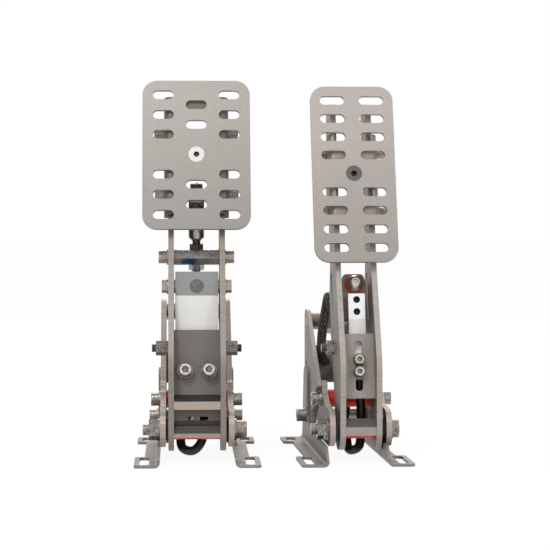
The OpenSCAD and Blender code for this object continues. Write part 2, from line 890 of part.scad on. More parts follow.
module brake_arm_left() {
    color([0.7, 0.67, 0.64]) place_brake() difference() {
        mirror_left(-1) arm_plate(brake_half, brake_face_at, brake_plate_v);
        x_bore(side_screw_at, 8);
        x_bore(angle_bar_at, 6 + hole_play);
        brake_tilt_slot();
    }
}

// Slot that lets the lower face bolt move when the face is tilted
module brake_tilt_slot() {
    p = face_point(brake_face_at + bolt_low, bolt_in);
    side_plate(-big / 2, big) translate(p) rotate(-face_tilt) slot_2d(14, 6 + hole_play);
}

module brake_arm_bushes() {
    color([0.15, 0.15, 0.15]) place_brake() arm_bushes(brake_half, brake_gap);
}

module brake_front_plate() {
    color([0.45, 0.43, 0.41]) place_brake() difference() {
        front_plate(brake_half, brake_plate_v);
        on_spine() brake_cell_holes(6 + hole_play, 20);
    }
}

module brake_cell_holes(d, l) {
    for (s = [-1, 1]) {
        translate([s * 8.4, spine_front - 1, brake_cell_top - brake_cell_l + 7.8])
            rotate([-90, 0, 0]) cylinder(d = d, h = l);
    }
}

module brake_cross_bars() {
    color([0.72, 0.68, 0.64]) place_brake() {
        cross_bar(brake_half, [24, 38.5], 10.5, 6.5, 22);
        foot_bar(brake_half, brake_foot);
        heel_plate(brake_half);
    }
}

module brake_load_cell() {
    low = brake_cell_top - brake_cell_l;
    mid = low + brake_cell_l / 2;
    color([0.6, 0.6, 0.6]) place_brake() on_spine() difference() {
        translate([-brake_cell_w / 2, cell_u, low]) cube([brake_cell_w, brake_cell_t, brake_cell_l]);
        translate([-big / 2, cell_u - 1, mid - 17.5]) cube([big, potting_t + 1, 40]);
        for (v = [mid - 10, mid + 8]) {
            translate([-big / 2, cell_u + 10.5, v]) rotate([0, 90, 0]) cylinder(d = 9, h = big);
        }
        translate([-big / 2, cell_u + 8.5, mid - 10]) cube([big, 4, 18]);
        translate([0, cell_u - 1, brake_stud_v]) rotate([-90, 0, 0])
            cylinder(d = brake_stud_d + 2 * running_play, h = brake_cell_t + 2);
        translate([0, plate_t + 1, 0]) brake_cell_holes(6 + 2 * running_play, 13);
        for (s = [-1, 1]) {
            translate([s * brake_cell_w / 2 - 8, cell_u + brake_cell_t / 2, side_screw_v])
                rotate([0, 90, 0]) cylinder(d = 5 + 2 * running_play, h = 16);
        }
    }
}

module brake_cell_potting() {
    mid = brake_cell_top - brake_cell_l / 2;
    color([0.9, 0.9, 0.87]) place_brake() on_spine()
        translate([-brake_cell_w / 2, cell_u, mid - 17.5]) cube([brake_cell_w, potting_t, 40]);
}

module brake_cell_screws() {
    color("silver") place_brake() on_spine() for (s = [-1, 1]) {
        translate([s * 8.4, spine_front, brake_cell_top - brake_cell_l + 7.8]) rotate([90, 0, 0]) {
            washer(6, 12, 1.2);
            translate([0, 0, 1.2]) cap_screw(6, 16);
        }
    }
}

// Screws that guide the free end of the cell, the arm's cross bolts and the angle bar's screws
side_screw_u = cell_u + brake_cell_t / 2;
side_screw_at = [spine_y(side_screw_u, side_screw_v), spine_z(side_screw_u, side_screw_v)];
module brake_side_screws() {
    p = side_screw_at;
    color("silver") place_brake() {
        for (s = [-1, 1]) {
            outward(s, brake_cell_w / 2, p) washer(5, 10, brake_inner - brake_cell_w / 2 - fit);
            outward(s, brake_half, p) washer(5, 11, 1);
            outward(s, brake_half + 1, p) hex_screw(5, brake_half + 1 - brake_cell_w / 2 + 7);
        }
        arm_cross_bolt(brake_half, [12, 12], [[0, 4.2], [4.2, 4.9]], [[0, 4.2], [4.2, 4.9]]);
        for (s = [-1, 1]) {
            outward(s, brake_half, angle_bar_at) washer(6, 12, 1.2);
            outward(s, brake_half + 1.2, angle_bar_at) cap_screw(6, plate_t + 9);
        }
    }
}

// Bolt behind the load cell, with its reach on each side and the nuts [start, height] there
arm_bolt_at = [66.8, 79.2];
module arm_cross_bolt(half, reach, left, right) {
    d = 6 - hole_play;
    x_rod(arm_bolt_at, -half - reach[0], half + reach[1], d);
    for (n = left) outward(-1, half + n[0], arm_bolt_at) hex_nut(d, n[1]);
    for (n = right) outward(1, half + n[0], arm_bolt_at) hex_nut(d, n[1]);
}

module brake_rod_end() {
    color([0.55, 0.52, 0.48]) place_brake() on_spine() translate([0, 0, brake_stud_v]) {
        y_rod(cell_u + 0.5, cell_u + brake_cell_t + 1, brake_stud_d);
        translate([0, cell_u + brake_cell_t, 0]) rotate([-90, 0, 0]) cylinder(d = 15, h = 5, $fn = 6);
        difference() {
            union() {
                y_rod(cell_u + brake_cell_t + 4, eye_u - 9.6, 11);
                translate([-4.5, eye_u, 0]) rotate([0, 90, 0]) cylinder(r = rod_end_r, h = 9);
            }
            translate([-20, eye_u, 0]) rotate([0, 90, 0]) cylinder(d = 8 + 2 * running_play, h = 40);
        }
    }
}

// Hexagonal bar that carries the adjusting link
angle_bar_w = 11;
link_d = 6;
module brake_angle_bar() {
    lean = brake_link_lean();
    color([0.5, 0.49, 0.48]) place_brake() translate([0, angle_bar_at[0], angle_bar_at[1]])
        rotate([lean, 0, 0]) difference() {
            translate([-brake_inner, 0, 0]) rotate([0, 90, 0]) rotate(30)
                cylinder(d = angle_bar_w / cos(30), h = 2 * brake_inner, $fn = 6);
            translate([0, 0, -10]) cylinder(d = link_d + hole_play, h = 20);
            for (s = [-1, 1]) {
                outward(s, brake_inner - 10, [0, 0]) cylinder(d = 6 + 2 * running_play, h = 12);
            }
        }
}

function brake_link_top() = face_point(brake_face_at + bolt_low, bolt_in);
function brake_link_lean() = atan2(angle_bar_at[0] - brake_link_top()[0], brake_link_top()[1] - angle_bar_at[1]);

// Adjusting link: rod end on the lower face bolt, threaded rod through the angle bar, two jam nuts
module brake_angle_link() {
    lean = brake_link_lean();
    reach = norm(brake_link_top() - angle_bar_at);
    neck = angle_bar_w / 2 + 7;
    color([0.62, 0.58, 0.54]) place_brake() translate([0, angle_bar_at[0], angle_bar_at[1]])
        rotate([lean, 0, 0]) {
            difference() {
                union() {
                    translate([-4.5, 0, reach]) rotate([0, 90, 0]) cylinder(r = 9, h = 9);
                    translate([0, 0, neck]) cylinder(d1 = 8, d2 = 11.5, h = 2);
                    translate([0, 0, neck + 2]) cylinder(d = 11.5, h = reach - neck - 6);
                }
                translate([-20, 0, reach]) rotate([0, 90, 0]) cylinder(d = 6 + hole_play, h = 40);
            }
            translate([0, 0, -angle_bar_w / 2 - 6]) cylinder(d = link_d, h = reach - 4);
            translate([0, 0, angle_bar_w / 2]) rotate(30) hex_nut(link_d, 4.5);
            translate([0, 0, -angle_bar_w / 2 - 4.2]) hex_nut(link_d, 4.2);
        }
}

module brake_face_bracket() {
    z = brake_bracket_z;
    color([0.68, 0.65, 0.62]) place_brake()
        face_bracket(brake_half, brake_face_at, z[0], z[1], brake_windows, brake_window_w);
}

module brake_face_plate() {
    color([0.71, 0.68, 0.66]) place_brake() difference() {
        face_sheet(brake_face_w, brake_face_h, brake_face_at) brake_slots();
        on_face(brake_face_at) countersink(fit);
    }
}

module brake_face_screw() {
    color("silver") place_brake() face_screw(brake_face_at);
}

module brake_face_bolts() {
    p = face_point(brake_face_at + bolt_low, bolt_in);
    color("silver") place_brake() {
        face_bolt_pair(brake_half, brake_face_at, bolt_high, sheet_t + plate_t + 6);
        outward(1, brake_half + sheet_t, p) washer(6, 12, 1.2);
        outward(1, brake_half + sheet_t + 1.2, p) cap_screw(6, 2 * (brake_half + sheet_t) + 8);
        outward(-1, brake_half + sheet_t, p) washer(6, 12, 1.2);
        outward(-1, brake_half + sheet_t + 1.2, p) hex_nut(6, 5);
    }
}

// Fork on the rod end, with the rod that slides through the trunnion
module brake_rod() {
    color("silver") place_brake() on_rod(brake_a, brake_rod_ang) {
        difference() {
            union() {
                translate([-10, 0, -9]) cube([20, 16, 18]);
                translate([-10, 0, 0]) rotate([0, 90, 0]) cylinder(r = 9, h = 20);
            }
            translate([-5, -20, -20]) cube([10, 20 + rod_end_r + 1, 40]);
            translate([-20, 0, 0]) rotate([0, 90, 0]) cylinder(d = 8 + 2 * running_play, h = 40);
        }
        y_rod(16, brake_rod_l + 24, rod_d);
    }
}

module brake_fork_pin() {
    color("silver") place_brake() {
        x_rod(brake_a, -11.5, 11.5, 8);
        for (s = [-1, 1]) outward(s, 10, brake_a) translate([0, 0, fit]) cylinder(d = 11, h = 1.4);
    }
}

module preload_knob(s0, d, l) {
    difference() {
        union() {
            y_rod(s0, s0 + l, d);
            y_rod(s0 + l - 1, s0 + l + 2, d - 6);
        }
        y_rod(s0 - 1, s0 + l + 4, rod_d + 2 * running_play);
        for (k = [0:11]) {
            rotate([0, 30 * k, 0]) translate([d / 2 + 1, s0 - 1, 0]) rotate([-90, 0, 0])
                cylinder(d = 4.5, h = l + 0.5);
        }
    }
}

module brake_preload_knob() {
    color([0.78, 0.1, 0.07]) place_brake() on_rod(brake_a, brake_rod_ang)
        preload_knob(16 + gap, knob_d, 8);
}

// Rubber rings with thin discs between them
module brake_rubbers() {
    s0 = 16 + gap + 10 + gap;
    s1 = brake_rod_l - trunnion_half - gap;
    step = (s1 - s0) / 3;
    color([0.12, 0.12, 0.12]) place_brake() on_rod(brake_a, brake_rod_ang) for (k = [0:2]) {
        y_ring(s0 + k * step, s0 + (k + 1) * step - 0.5, rubber_d, rod_d + 1.2);
    }
}

module brake_rod_nuts() {
    color("silver") place_brake() on_rod(brake_a, brake_rod_ang) {
        for (s = [gap, gap + 7.5]) {
            translate([0, brake_rod_l + trunnion_half + s, 0]) rotate([-90, 0, 0]) hex_nut(rod_d, 6.5);
        }
    }
}

// Bar between the towers with a flat-faced middle that the rod slides through
module trunnion(tilt, p, x0, x1, end0, end1, bore) {
    translate([0, p[0], p[1]]) rotate([tilt, 0, 0]) difference() {
        union() {
            translate([-11, -trunnion_half, -trunnion_half])
                cube([22, 2 * trunnion_half, 2 * trunnion_half]);
            x_rod([0, 0], x0 + gap, x1 - gap, 13);
            x_rod([0, 0], end0, end1, journal_d);
        }
        y_rod(-20, 20, bore);
    }
}

module brake_trunnion() {
    end = brake_in + plate_t;
    color([0.6, 0.58, 0.55]) place_brake()
        trunnion(brake_rod_ang, brake_t, -brake_in, brake_in, -end, end, rod_d + 2 * brake_bore_play);
}

// Throttle module

throttle_t = [throttle_t_y, throttle_t_z];
throttle_inner = throttle_half - plate_t;
throttle_tower_x = throttle_in + plate_t;

module throttle_bracket_right() {
    color([0.66, 0.63, 0.6]) place_throttle()
        bracket(throttle_in - bracket_t, throttle_foot_reach);
}

module throttle_bracket_left() {
    color([0.66, 0.63, 0.6]) place_throttle()
        mirror_left(-1) bracket(throttle_tower_x + sheet_t, throttle_foot_reach);
}

module throttle_pivot_plate_right() {
    color([0.7, 0.67, 0.64]) place_throttle() pivot_plate(throttle_in, throttle_t);
}

module throttle_pivot_plate_left() {
    color([0.7, 0.67, 0.64]) place_throttle() mirror_left(-1) difference() {
        side_plate(throttle_in, plate_t) low_pivot_plate();
        base_bores();
    }
}

module throttle_tower_left() {
    color([0.7, 0.67, 0.64]) place_throttle() mirror_left(-1) difference() {
        side_plate(throttle_tower_x, sheet_t) tower_2d(throttle_t);
        base_bores();
        tower_holes(throttle_t, throttle_tower_x);
    }
}

module throttle_lead() {
    color([0.1, 0.1, 0.1]) place_throttle() tube(route_path(throttle_route, 2), lead_d, 8, [1, 0, 0]);
}

module throttle_sleeved_lead() {
    color([0.12, 0.11, 0.1]) place_throttle() tube(route_path(sleeve_route, 2), sleeve_d, 10, [1, 0, 0]);
}

module throttle_arm_right() {
    color([0.7, 0.67, 0.64]) place_throttle() difference() {
        arm_plate(throttle_half, throttle_face_at, throttle_plate_v);
        x_bore(face_point(throttle_face_at + bolt_low, bolt_in), 6 + hole_play);
    }
}

module throttle_arm_left() {
    color([0.7, 0.67, 0.64]) place_throttle() difference() {
        mirror_left(-1) arm_plate(throttle_half, throttle_face_at, throttle_plate_v);
        x_bore(face_point(throttle_face_at + bolt_low, bolt_in), 6 + hole_play);
    }
}

module throttle_arm_bushes() {
    color([0.15, 0.15, 0.15]) place_throttle() arm_bushes(throttle_half, throttle_gap);
}

// Front plate with the slot that sets the height of the load cell
module throttle_front_plate() {
    color([0.62, 0.59, 0.56]) place_throttle() difference() {
        front_plate(throttle_half, throttle_plate_v);
        on_spine() translate([0, spine_front + plate_t + 1, 44]) rotate([90, 0, 0])
            linear_extrude(plate_t + 2) rotate(90) slot_2d(36, 5 + hole_play);
    }
}

module throttle_cross_bar() {
    color([0.72, 0.68, 0.64]) place_throttle() foot_bar(throttle_half, throttle_foot);
}

throttle_low_holes = [throttle_cell_low + 4.4, throttle_cell_low + 13.2];
throttle_high_holes = [throttle_cell_top - 13.2, throttle_cell_top - 4.4];

module throttle_load_cell() {
    low = throttle_cell_top - throttle_cell_l;
    color([0.85, 0.85, 0.85]) place_throttle() on_spine() difference() {
        translate([-throttle_cell_w / 2, cell_u, low]) cube([throttle_cell_w, throttle_cell_t, throttle_cell_l]);
        translate([-big / 2, cell_u - 1, low + 20.5]) cube([big, potting_t + 1, 22.8]);
        for (v = [low + 27, low + 36]) {
            translate([-big / 2, cell_u + 7.4, v]) rotate([0, 90, 0]) cylinder(d = 6, h = big);
        }
        for (v = concat(throttle_low_holes, throttle_high_holes)) {
            translate([0, cell_u - 1, v]) rotate([-90, 0, 0])
                cylinder(d = 4.2 + 2 * running_play, h = throttle_cell_t + 2);
        }
    }
}

module throttle_cell_potting() {
    low = throttle_cell_top - throttle_cell_l;
    color([0.9, 0.9, 0.87]) place_throttle() on_spine()
        translate([-throttle_cell_w / 2, cell_u, low + 20.5]) cube([throttle_cell_w, potting_t, 22.8]);
}

module throttle_cell_screws() {
    color("silver") place_throttle() {
        on_spine() {
            for (v = throttle_low_holes) {
                translate([0, spine_front, v]) rotate([90, 0, 0]) {
                    washer(4.2, 8.7, 1);
                    translate([0, 0, 1]) difference() {
                        union() {
                            cylinder(d = 8, h = 4.2);
                            translate([0, 0, -14]) cylinder(d = 4.2, h = 14);
                        }
                        translate([0, 0, 2]) cylinder(d = 4, h = 3, $fn = 6);
                    }
                }
            }
            for (v = throttle_high_holes) {
                translate([0, throttle_plate_u + plate_t, v]) rotate([-90, 0, 0]) {
                    cylinder(d = 8, h = 2.6);
                    translate([0, 0, -12]) cylinder(d = 4.2, h = 12);
                }
            }
        }
        arm_cross_bolt(throttle_half, [9, 2], [[0, 5.2]], [[0, 1.6]]);
    }
}

// Plate behind the cell's free end that carries the seat of the ball nut
module throttle_rod_bracket() {
    color([0.5, 0.47, 0.45]) place_throttle() on_spine() difference() {
        translate([0, throttle_plate_u, 0]) rotate([-90, 0, 0]) linear_extrude(plate_t) mirror([0, 1])
            polygon(rounded([
                [-8.6, throttle_high_holes[0] - 5, 3],
                [8.6, throttle_high_holes[0] - 5, 3],
                [8.6, ball_v + 1, 4],
                [6.4, ball_v + 7.6, 3],
                [-8.6, ball_v + 7.6, 3]
            ]));
        translate([0, 0, ball_v]) y_rod(throttle_plate_u - 1, throttle_plate_u + plate_t + 1, 12.4);
        for (v = throttle_high_holes) {
            translate([0, 0, v]) y_rod(throttle_plate_u - 1, throttle_plate_u + plate_t + 1, 4.2 + hole_play);
        }
    }
}

module throttle_seat_ring() {
    color([0.78, 0.1, 0.07]) place_throttle() on_spine() translate([0, 0, ball_v]) difference() {
        y_rod(throttle_plate_u - 2, throttle_plate_u, seat_d);
        y_rod(throttle_plate_u - 3, throttle_plate_u + 1, 10.2);
        translate([0, ball_u, 0]) sphere(d = ball_d + 2 * gap);
    }
}

module throttle_face_bracket() {
    z = throttle_bracket_z;
    color([0.68, 0.65, 0.62]) place_throttle()
        face_bracket(throttle_half, throttle_face_at, z[0], z[1], throttle_windows, throttle_window_w);
}

module throttle_face_plate() {
    color([0.71, 0.68, 0.66]) place_throttle() difference() {
        face_sheet(throttle_face_w, throttle_face_h, throttle_face_at) throttle_slots();
        on_face(throttle_face_at) countersink(fit);
    }
}

module throttle_face_screw() {
    color([0.2, 0.2, 0.2]) place_throttle() face_screw(throttle_face_at);
}

module throttle_face_bolts() {
    color("silver") place_throttle() {
        for (z = [bolt_high, bolt_low]) {
            face_bolt_pair(throttle_half, throttle_face_at, z, sheet_t + plate_t + 4);
        }
    }
}

module throttle_rod() {
    color("silver") place_throttle() on_rod(throttle_a, throttle_rod_ang) {
        y_rod(1, throttle_rod_l + 24, rod_d);
    }
}

module throttle_preload_knob() {
    color([0.78, 0.1, 0.07]) place_throttle() on_rod(throttle_a, throttle_rod_ang)
        preload_knob(13.5, spring_d - 1, 6);
}

// Coil spring with closed ends between the preload nut and the trunnion
module throttle_spring() {
    s0 = 21 + gap + spring_wire / 2;
    s1 = throttle_rod_l - trunnion_half - gap - spring_wire / 2;
    steps = 14;
    n = spring_turns * steps;
    r = (spring_d - spring_wire) / 2;
    path = [for (i = [0:n]) [r * cos(360 * i / steps), s0 + (s1 - s0) * coil_rise(i / n), r * sin(360 * i / steps)]];
    color([0.75, 0.75, 0.76]) place_throttle() on_rod(throttle_a, throttle_rod_ang)
        tube(path, spring_wire, 8, [1, 0, 0]);
}

// Rise of the coil: slow at both ends, where the turns lie together
function coil_rise(t) = t - sin(360 * t) / 360 * 26;

module throttle_rod_nuts() {
    color("silver") place_throttle() on_rod(throttle_a, throttle_rod_ang) {
        difference() {
            sphere(d = ball_d);
            y_rod(1 - running_play, 20, rod_d + 2 * running_play);
            y_rod(-ball_d, -ball_d / 2 + 0.8, ball_d);
            translate([0, -ball_d / 2, 0]) rotate([-90, 0, 0]) cylinder(d = 4.6, h = 3, $fn = 6);
        }
        for (s = [gap, gap + 7.5]) {
            translate([0, throttle_rod_l + trunnion_half + s, 0]) rotate([-90, 0, 0]) hex_nut(rod_d, 6.5);
        }
    }
}

module throttle_trunnion() {
    color([0.6, 0.58, 0.55]) place_throttle() trunnion(
        throttle_rod_ang, throttle_t, -throttle_tower_x, throttle_in,
        -throttle_tower_x - sheet_t, throttle_in + plate_t, rod_d + 2 * throttle_bore_play
    );
}

// Pieces that both modules share by kind

module pivot_bolts() {
    color("silver") {
        place_brake() pivot_bolt(brake_in, 7.4);
        place_throttle() pivot_bolt(throttle_in, 4.6);
    }
}

module pivot_tubes() {
    bore = pivot_bolt_d + hole_play;
    color([0.78, 0.1, 0.07]) {
        place_brake() x_ring([pivot_y, pivot_z], -brake_in, brake_in, pivot_tube_d, bore);
        place_throttle() x_ring([pivot_y, pivot_z], -throttle_in, throttle_in, pivot_tube_d, bore);
    }
}

module stop_bars() {
    color([0.78, 0.1, 0.07]) {
        place_brake() tapped_bar([stop_y, stop_z], -brake_in, brake_in, stop_bar_d);
        place_throttle() tapped_bar([stop_y, stop_z], -throttle_in, throttle_in, stop_bar_d);
    }
}

module rear_bars() {
    color("silver") {
        place_brake() tapped_bar([rear_bar_y, rear_bar_z], -brake_in, brake_in, rear_bar_d);
        place_throttle()
            tapped_bar([rear_bar_y, rear_bar_z], -throttle_in, throttle_in - bracket_t, rear_bar_d);
    }
}

module base_screws() {
    color("silver") {
        for (s = [-1, 1]) {
            place_brake() bar_screw(s, brake_in + plate_t, [stop_y, stop_z]);
            place_brake() bar_screw(s, brake_in + plate_t + bracket_t, [rear_bar_y, rear_bar_z]);
            place_throttle() bar_screw(s, throttle_in + plate_t, [stop_y, stop_z]);
        }
        place_throttle()
            bar_screw(-1, throttle_tower_x + sheet_t + bracket_t, [rear_bar_y, rear_bar_z]);
        place_throttle() bar_screw(1, throttle_in + plate_t, [rear_bar_y, rear_bar_z]);
    }
}

module rear_plates() {
    color([0.6, 0.57, 0.54]) {
        place_brake() rear_plate(-brake_in, brake_in, plate_t, plate_t);
        place_throttle() rear_plate(-throttle_tower_x, throttle_in, sheet_t, plate_t);
    }
}

module lead_sockets() {
    color([0.12, 0.12, 0.12]) {
        place_brake() lead_socket();
        place_throttle() lead_socket();
    }
}

pivot_bolts();
pivot_tubes();
stop_bars();
rear_bars();
base_screws();
lead_sockets();
brake_bracket_left();
brake_bracket_right();
brake_pivot_plate_left();
brake_pivot_plate_right();
rear_plates();
brake_lead();
brake_arm_left();
brake_arm_right();
brake_arm_bushes();
brake_front_plate();
brake_cross_bars();
brake_load_cell();
brake_cell_potting();
brake_cell_screws();
brake_side_screws();
brake_rod_end();
brake_angle_bar();
brake_angle_link();
brake_face_bracket();
brake_face_plate();
brake_face_screw();
brake_face_bolts();
brake_rod();
brake_fork_pin();
brake_preload_knob();
brake_rubbers();
brake_rod_nuts();
brake_trunnion();
throttle_bracket_left();
throttle_bracket_right();
throttle_pivot_plate_left();
throttle_pivot_plate_right();
throttle_tower_left();
throttle_lead();
throttle_sleeved_lead();
throttle_arm_left();
throttle_arm_right();
throttle_arm_bushes();
throttle_front_plate();
throttle_cross_bar();
throttle_load_cell();
throttle_cell_potting();
throttle_cell_screws();
throttle_rod_bracket();
throttle_seat_ring();
throttle_face_bracket();
throttle_face_plate();
throttle_face_screw();
throttle_face_bolts();
throttle_rod();
throttle_preload_knob();
throttle_spring();
throttle_rod_nuts();
throttle_trunnion();
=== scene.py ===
"""Looks of the sim racing pedal set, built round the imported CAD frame.

Metres, +X right, +Y away from the driver, +Z up. The floor is Z = 0.
Each module has its own frame, as in the CAD source: X = 0 on its centre plane, Y = 0 at the front
edge of its feet. The helpers brake() and throttle() turn a place there, in millimetres, into a
point in metres in the frame that all pieces share.
"""

import math

import bmesh
import bpy
from mathutils import Matrix, Vector


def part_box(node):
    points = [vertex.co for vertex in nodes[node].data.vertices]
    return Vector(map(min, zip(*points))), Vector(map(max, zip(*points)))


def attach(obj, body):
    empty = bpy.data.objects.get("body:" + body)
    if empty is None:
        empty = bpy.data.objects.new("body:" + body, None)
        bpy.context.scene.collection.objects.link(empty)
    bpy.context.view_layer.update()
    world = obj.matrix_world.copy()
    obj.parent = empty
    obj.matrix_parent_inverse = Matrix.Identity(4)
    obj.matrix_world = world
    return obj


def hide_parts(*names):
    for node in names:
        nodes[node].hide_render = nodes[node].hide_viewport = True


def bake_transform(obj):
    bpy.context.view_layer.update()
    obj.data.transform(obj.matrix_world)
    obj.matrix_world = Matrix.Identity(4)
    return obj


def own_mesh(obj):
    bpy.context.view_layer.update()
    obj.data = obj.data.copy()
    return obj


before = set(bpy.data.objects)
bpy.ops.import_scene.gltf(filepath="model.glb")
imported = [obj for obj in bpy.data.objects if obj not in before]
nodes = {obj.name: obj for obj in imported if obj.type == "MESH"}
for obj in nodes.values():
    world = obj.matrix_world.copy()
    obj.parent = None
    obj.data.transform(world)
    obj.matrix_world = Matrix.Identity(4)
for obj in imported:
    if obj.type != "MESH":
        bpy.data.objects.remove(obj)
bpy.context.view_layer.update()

MM = 0.001

# Where the modules stand, as in the CAD source, in millimetres
SET_SHIFT = Vector((-54.1, -93, 0))
MODULE_PITCH = 117.5
THROTTLE_BACK = 1
THROTTLE_YAW = math.radians(2.5)

THROTTLE_SHIFT = SET_SHIFT + Vector((MODULE_PITCH, THROTTLE_BACK, 0))

BRAKE_PLACE = Matrix.Translation(SET_SHIFT)
THROTTLE_PLACE = Matrix.Translation(THROTTLE_SHIFT) @ Matrix.Rotation(THROTTLE_YAW, 4, "Z")


def brake(x, y, z):
    """A place in the brake's frame as a point of the shared frame."""
    return (BRAKE_PLACE @ Vector((x, y, z))) * MM


def throttle(x, y, z):
    """A place in the throttle's frame as a point of the shared frame."""
    return (THROTTLE_PLACE @ Vector((x, y, z))) * MM


# The camera's place in the brake's frame, in millimetres, and where it looks
CAMERA_DISTANCE = 1500
CAMERA_HEIGHT = 193
CAMERA_X = -12.6
CAMERA_YAW = math.radians(2.54)
CAMERA_PITCH = math.radians(-2.22)
# The width of the picture in pixels, and its scale at the front edge of the brake's feet
PIXELS = 550
MM_PER_PIXEL = 0.6945
# The sensor's width in millimetres
SENSOR = 36
# The nearest and furthest distance that the camera sees, in metres
CLIP_NEAR, CLIP_FAR = 0.05, 20


def make_camera():
    """The photograph's viewing angle and scale."""
    data = bpy.data.cameras.new("camera")
    data.sensor_width = SENSOR
    data.lens = SENSOR * CAMERA_DISTANCE / MM_PER_PIXEL / PIXELS
    data.clip_start = CLIP_NEAR
    data.clip_end = CLIP_FAR
    cam = bpy.data.objects.new("camera", data)
    bpy.context.scene.collection.objects.link(cam)
    cam.location = brake(CAMERA_X, -CAMERA_DISTANCE, CAMERA_HEIGHT)
    look = Vector(
        (
            math.sin(CAMERA_YAW) * math.cos(CAMERA_PITCH),
            math.cos(CAMERA_YAW) * math.cos(CAMERA_PITCH),
            math.sin(CAMERA_PITCH),
        )
    )
    cam.rotation_mode = "QUATERNION"
    cam.rotation_quaternion = look.to_track_quat("-Z", "Y")
    bpy.context.scene.camera = cam


make_camera()
bpy.context.scene.view_settings.view_transform = "Standard"


# Materials

# The width over which a painted mark fades out
FADE = 0.1 * MM


class Shader:
    """A small wrapper round a material's node tree. Its coordinates are those of the shared frame."""

    def __init__(self, name):
        self.material = bpy.data.materials.new(name)
        self.material.use_nodes = True
        self.tree = self.material.node_tree
        self.bsdf = self.tree.nodes["Principled BSDF"]
        self.coords = self.add("ShaderNodeTexCoord").outputs["Object"]

    def add(self, kind, **values):
        node = self.tree.nodes.new(kind)
        for key, value in values.items():
            setattr(node, key, value)
        return node

    def put(self, source, target):
        if isinstance(source, bpy.types.NodeSocket):
            self.tree.links.new(source, target)
        else:
            target.default_value = source

    def math(self, operation, a, b=0.0):
        node = self.add("ShaderNodeMath", operation=operation)
        self.put(a, node.inputs[0])
        self.put(b, node.inputs[1])
        return node.outputs[0]

    def vector(self, operation, a, b=(0, 0, 0)):
        node = self.add("ShaderNodeVectorMath", operation=operation)
        self.put(a, node.inputs[0])
        self.put(b, node.inputs[1])
        return node.outputs

    def noise(self, scale, detail=3.0, stretch=(1, 1, 1), roughness=0.5):
        """Noise with scale features to the metre, stretched along an axis where stretch is small."""
        mapping = self.add("ShaderNodeMapping")
        mapping.inputs["Scale"].default_value = stretch
        self.put(self.coords, mapping.inputs["Vector"])
        node = self.add("ShaderNodeTexNoise")
        self.put(mapping.outputs[0], node.inputs["Vector"])
        node.inputs["Scale"].default_value = scale
        node.inputs["Detail"].default_value = detail
        node.inputs["Roughness"].default_value = roughness
        return node.outputs["Fac"]

    def map_range(self, fac, side, low, high):
        node = self.add("ShaderNodeMapRange", clamp=True)
        self.put(fac, node.inputs["Value"])
        node.inputs[side + " Min"].default_value = low
        node.inputs[side + " Max"].default_value = high
        return node.outputs["Result"]

    def ramp(self, fac, low, high):
        """0 up to low, rising to 1 at high."""
        return self.map_range(fac, "From", low, high)

    def span(self, fac, low, high):
        """low where fac is 0, and high where it is 1."""
        return self.map_range(fac, "To", low, high)

    def mix(self, fac, a, b):
        """Colour a where fac is 0, and b where it is 1."""
        node = self.add("ShaderNodeMix", data_type="RGBA")
        self.put(fac, node.inputs["Factor"])
        self.put(a, node.inputs["A"])
        self.put(b, node.inputs["B"])
        return node.outputs["Result"]

    def blot(self, tone, fac, share, colour):
        """The tone with a share of another colour over it, where fac is 1."""
        return self.mix(self.math("MULTIPLY", fac, share), tone, colour)

    def bump(self, height, distance, strength=1.0, normal=None):
        node = self.add("ShaderNodeBump")
        node.inputs["Distance"].default_value = distance
        node.inputs["Strength"].default_value = strength
        self.put(height, node.inputs["Height"])
        if normal is not None:
            self.put(normal, node.inputs["Normal"])
        return node.outputs["Normal"]

    def split(self, vector):
        node = self.add("ShaderNodeSeparateXYZ")
        self.put(vector, node.inputs[0])
        return node.outputs

    def facing(self):
        """X, Y and Z of the direction that the surface faces."""
        return self.split(self.add("ShaderNodeNewGeometry").outputs["True Normal"])

    def along(self, point, axis):
        """Distance of the surface along an axis through a point, and its distance from the axis."""
        offset = self.vector("SUBTRACT", self.coords, point)[0]
        run = self.vector("DOT_PRODUCT", offset, axis)["Value"]
        far = self.vector("LENGTH", self.vector("CROSS_PRODUCT", offset, axis)[0])["Value"]
        return run, far

    def near(self, value, limit, fade):
        """1 below the limit, falling to 0 over the fade."""
        return self.math("SUBTRACT", 1.0, self.ramp(value, limit, limit + fade))

    def thread(self, point, axis, diameter, pitch):
        """Height of a screw thread on a rod along an axis, and 1 on that rod."""
        run, far = self.along(point, axis)
        wave = self.math("SINE", self.math("MULTIPLY", run, 2 * math.pi / (pitch * MM)))
        on_rod = self.near(far, (diameter / 2 + 0.15) * MM, FADE)
        return self.math("MULTIPLY", wave, on_rod), on_rod

    def finish(self, colour, rough, metallic=0.0, normal=None):
        """Joins the looks to the shader and gives back the material."""
        self.put(colour, self.bsdf.inputs["Base Color"])
        self.put(rough, self.bsdf.inputs["Roughness"])
        self.bsdf.inputs["Metallic"].default_value = metallic
        if normal is not None:
            self.put(normal, self.bsdf.inputs["Normal"])
        return self.material


def rgb(r, g, b):
    """An sRGB colour, 0 to 255, as a linear colour."""

    def linear(v):
        v = v / 255
        return v / 12.92 if v <= 0.04045 else ((v + 0.055) / 1.055) ** 2.4

    return (linear(r), linear(g), linear(b), 1.0)


def shade(colour, factor, lift=0.0):
    """The colour made darker, or paler where the factor is above 1."""
    return [min(1.0, c * factor + lift) for c in colour[:3]] + [1.0]


# How noise is stretched into tool marks: rings across X, fine streaks along Z, or an even grain
ACROSS_X = (1, 0.25, 0.25)
ALONG_Z = (1, 1, 0.15)
EVEN = (1, 1, 1)


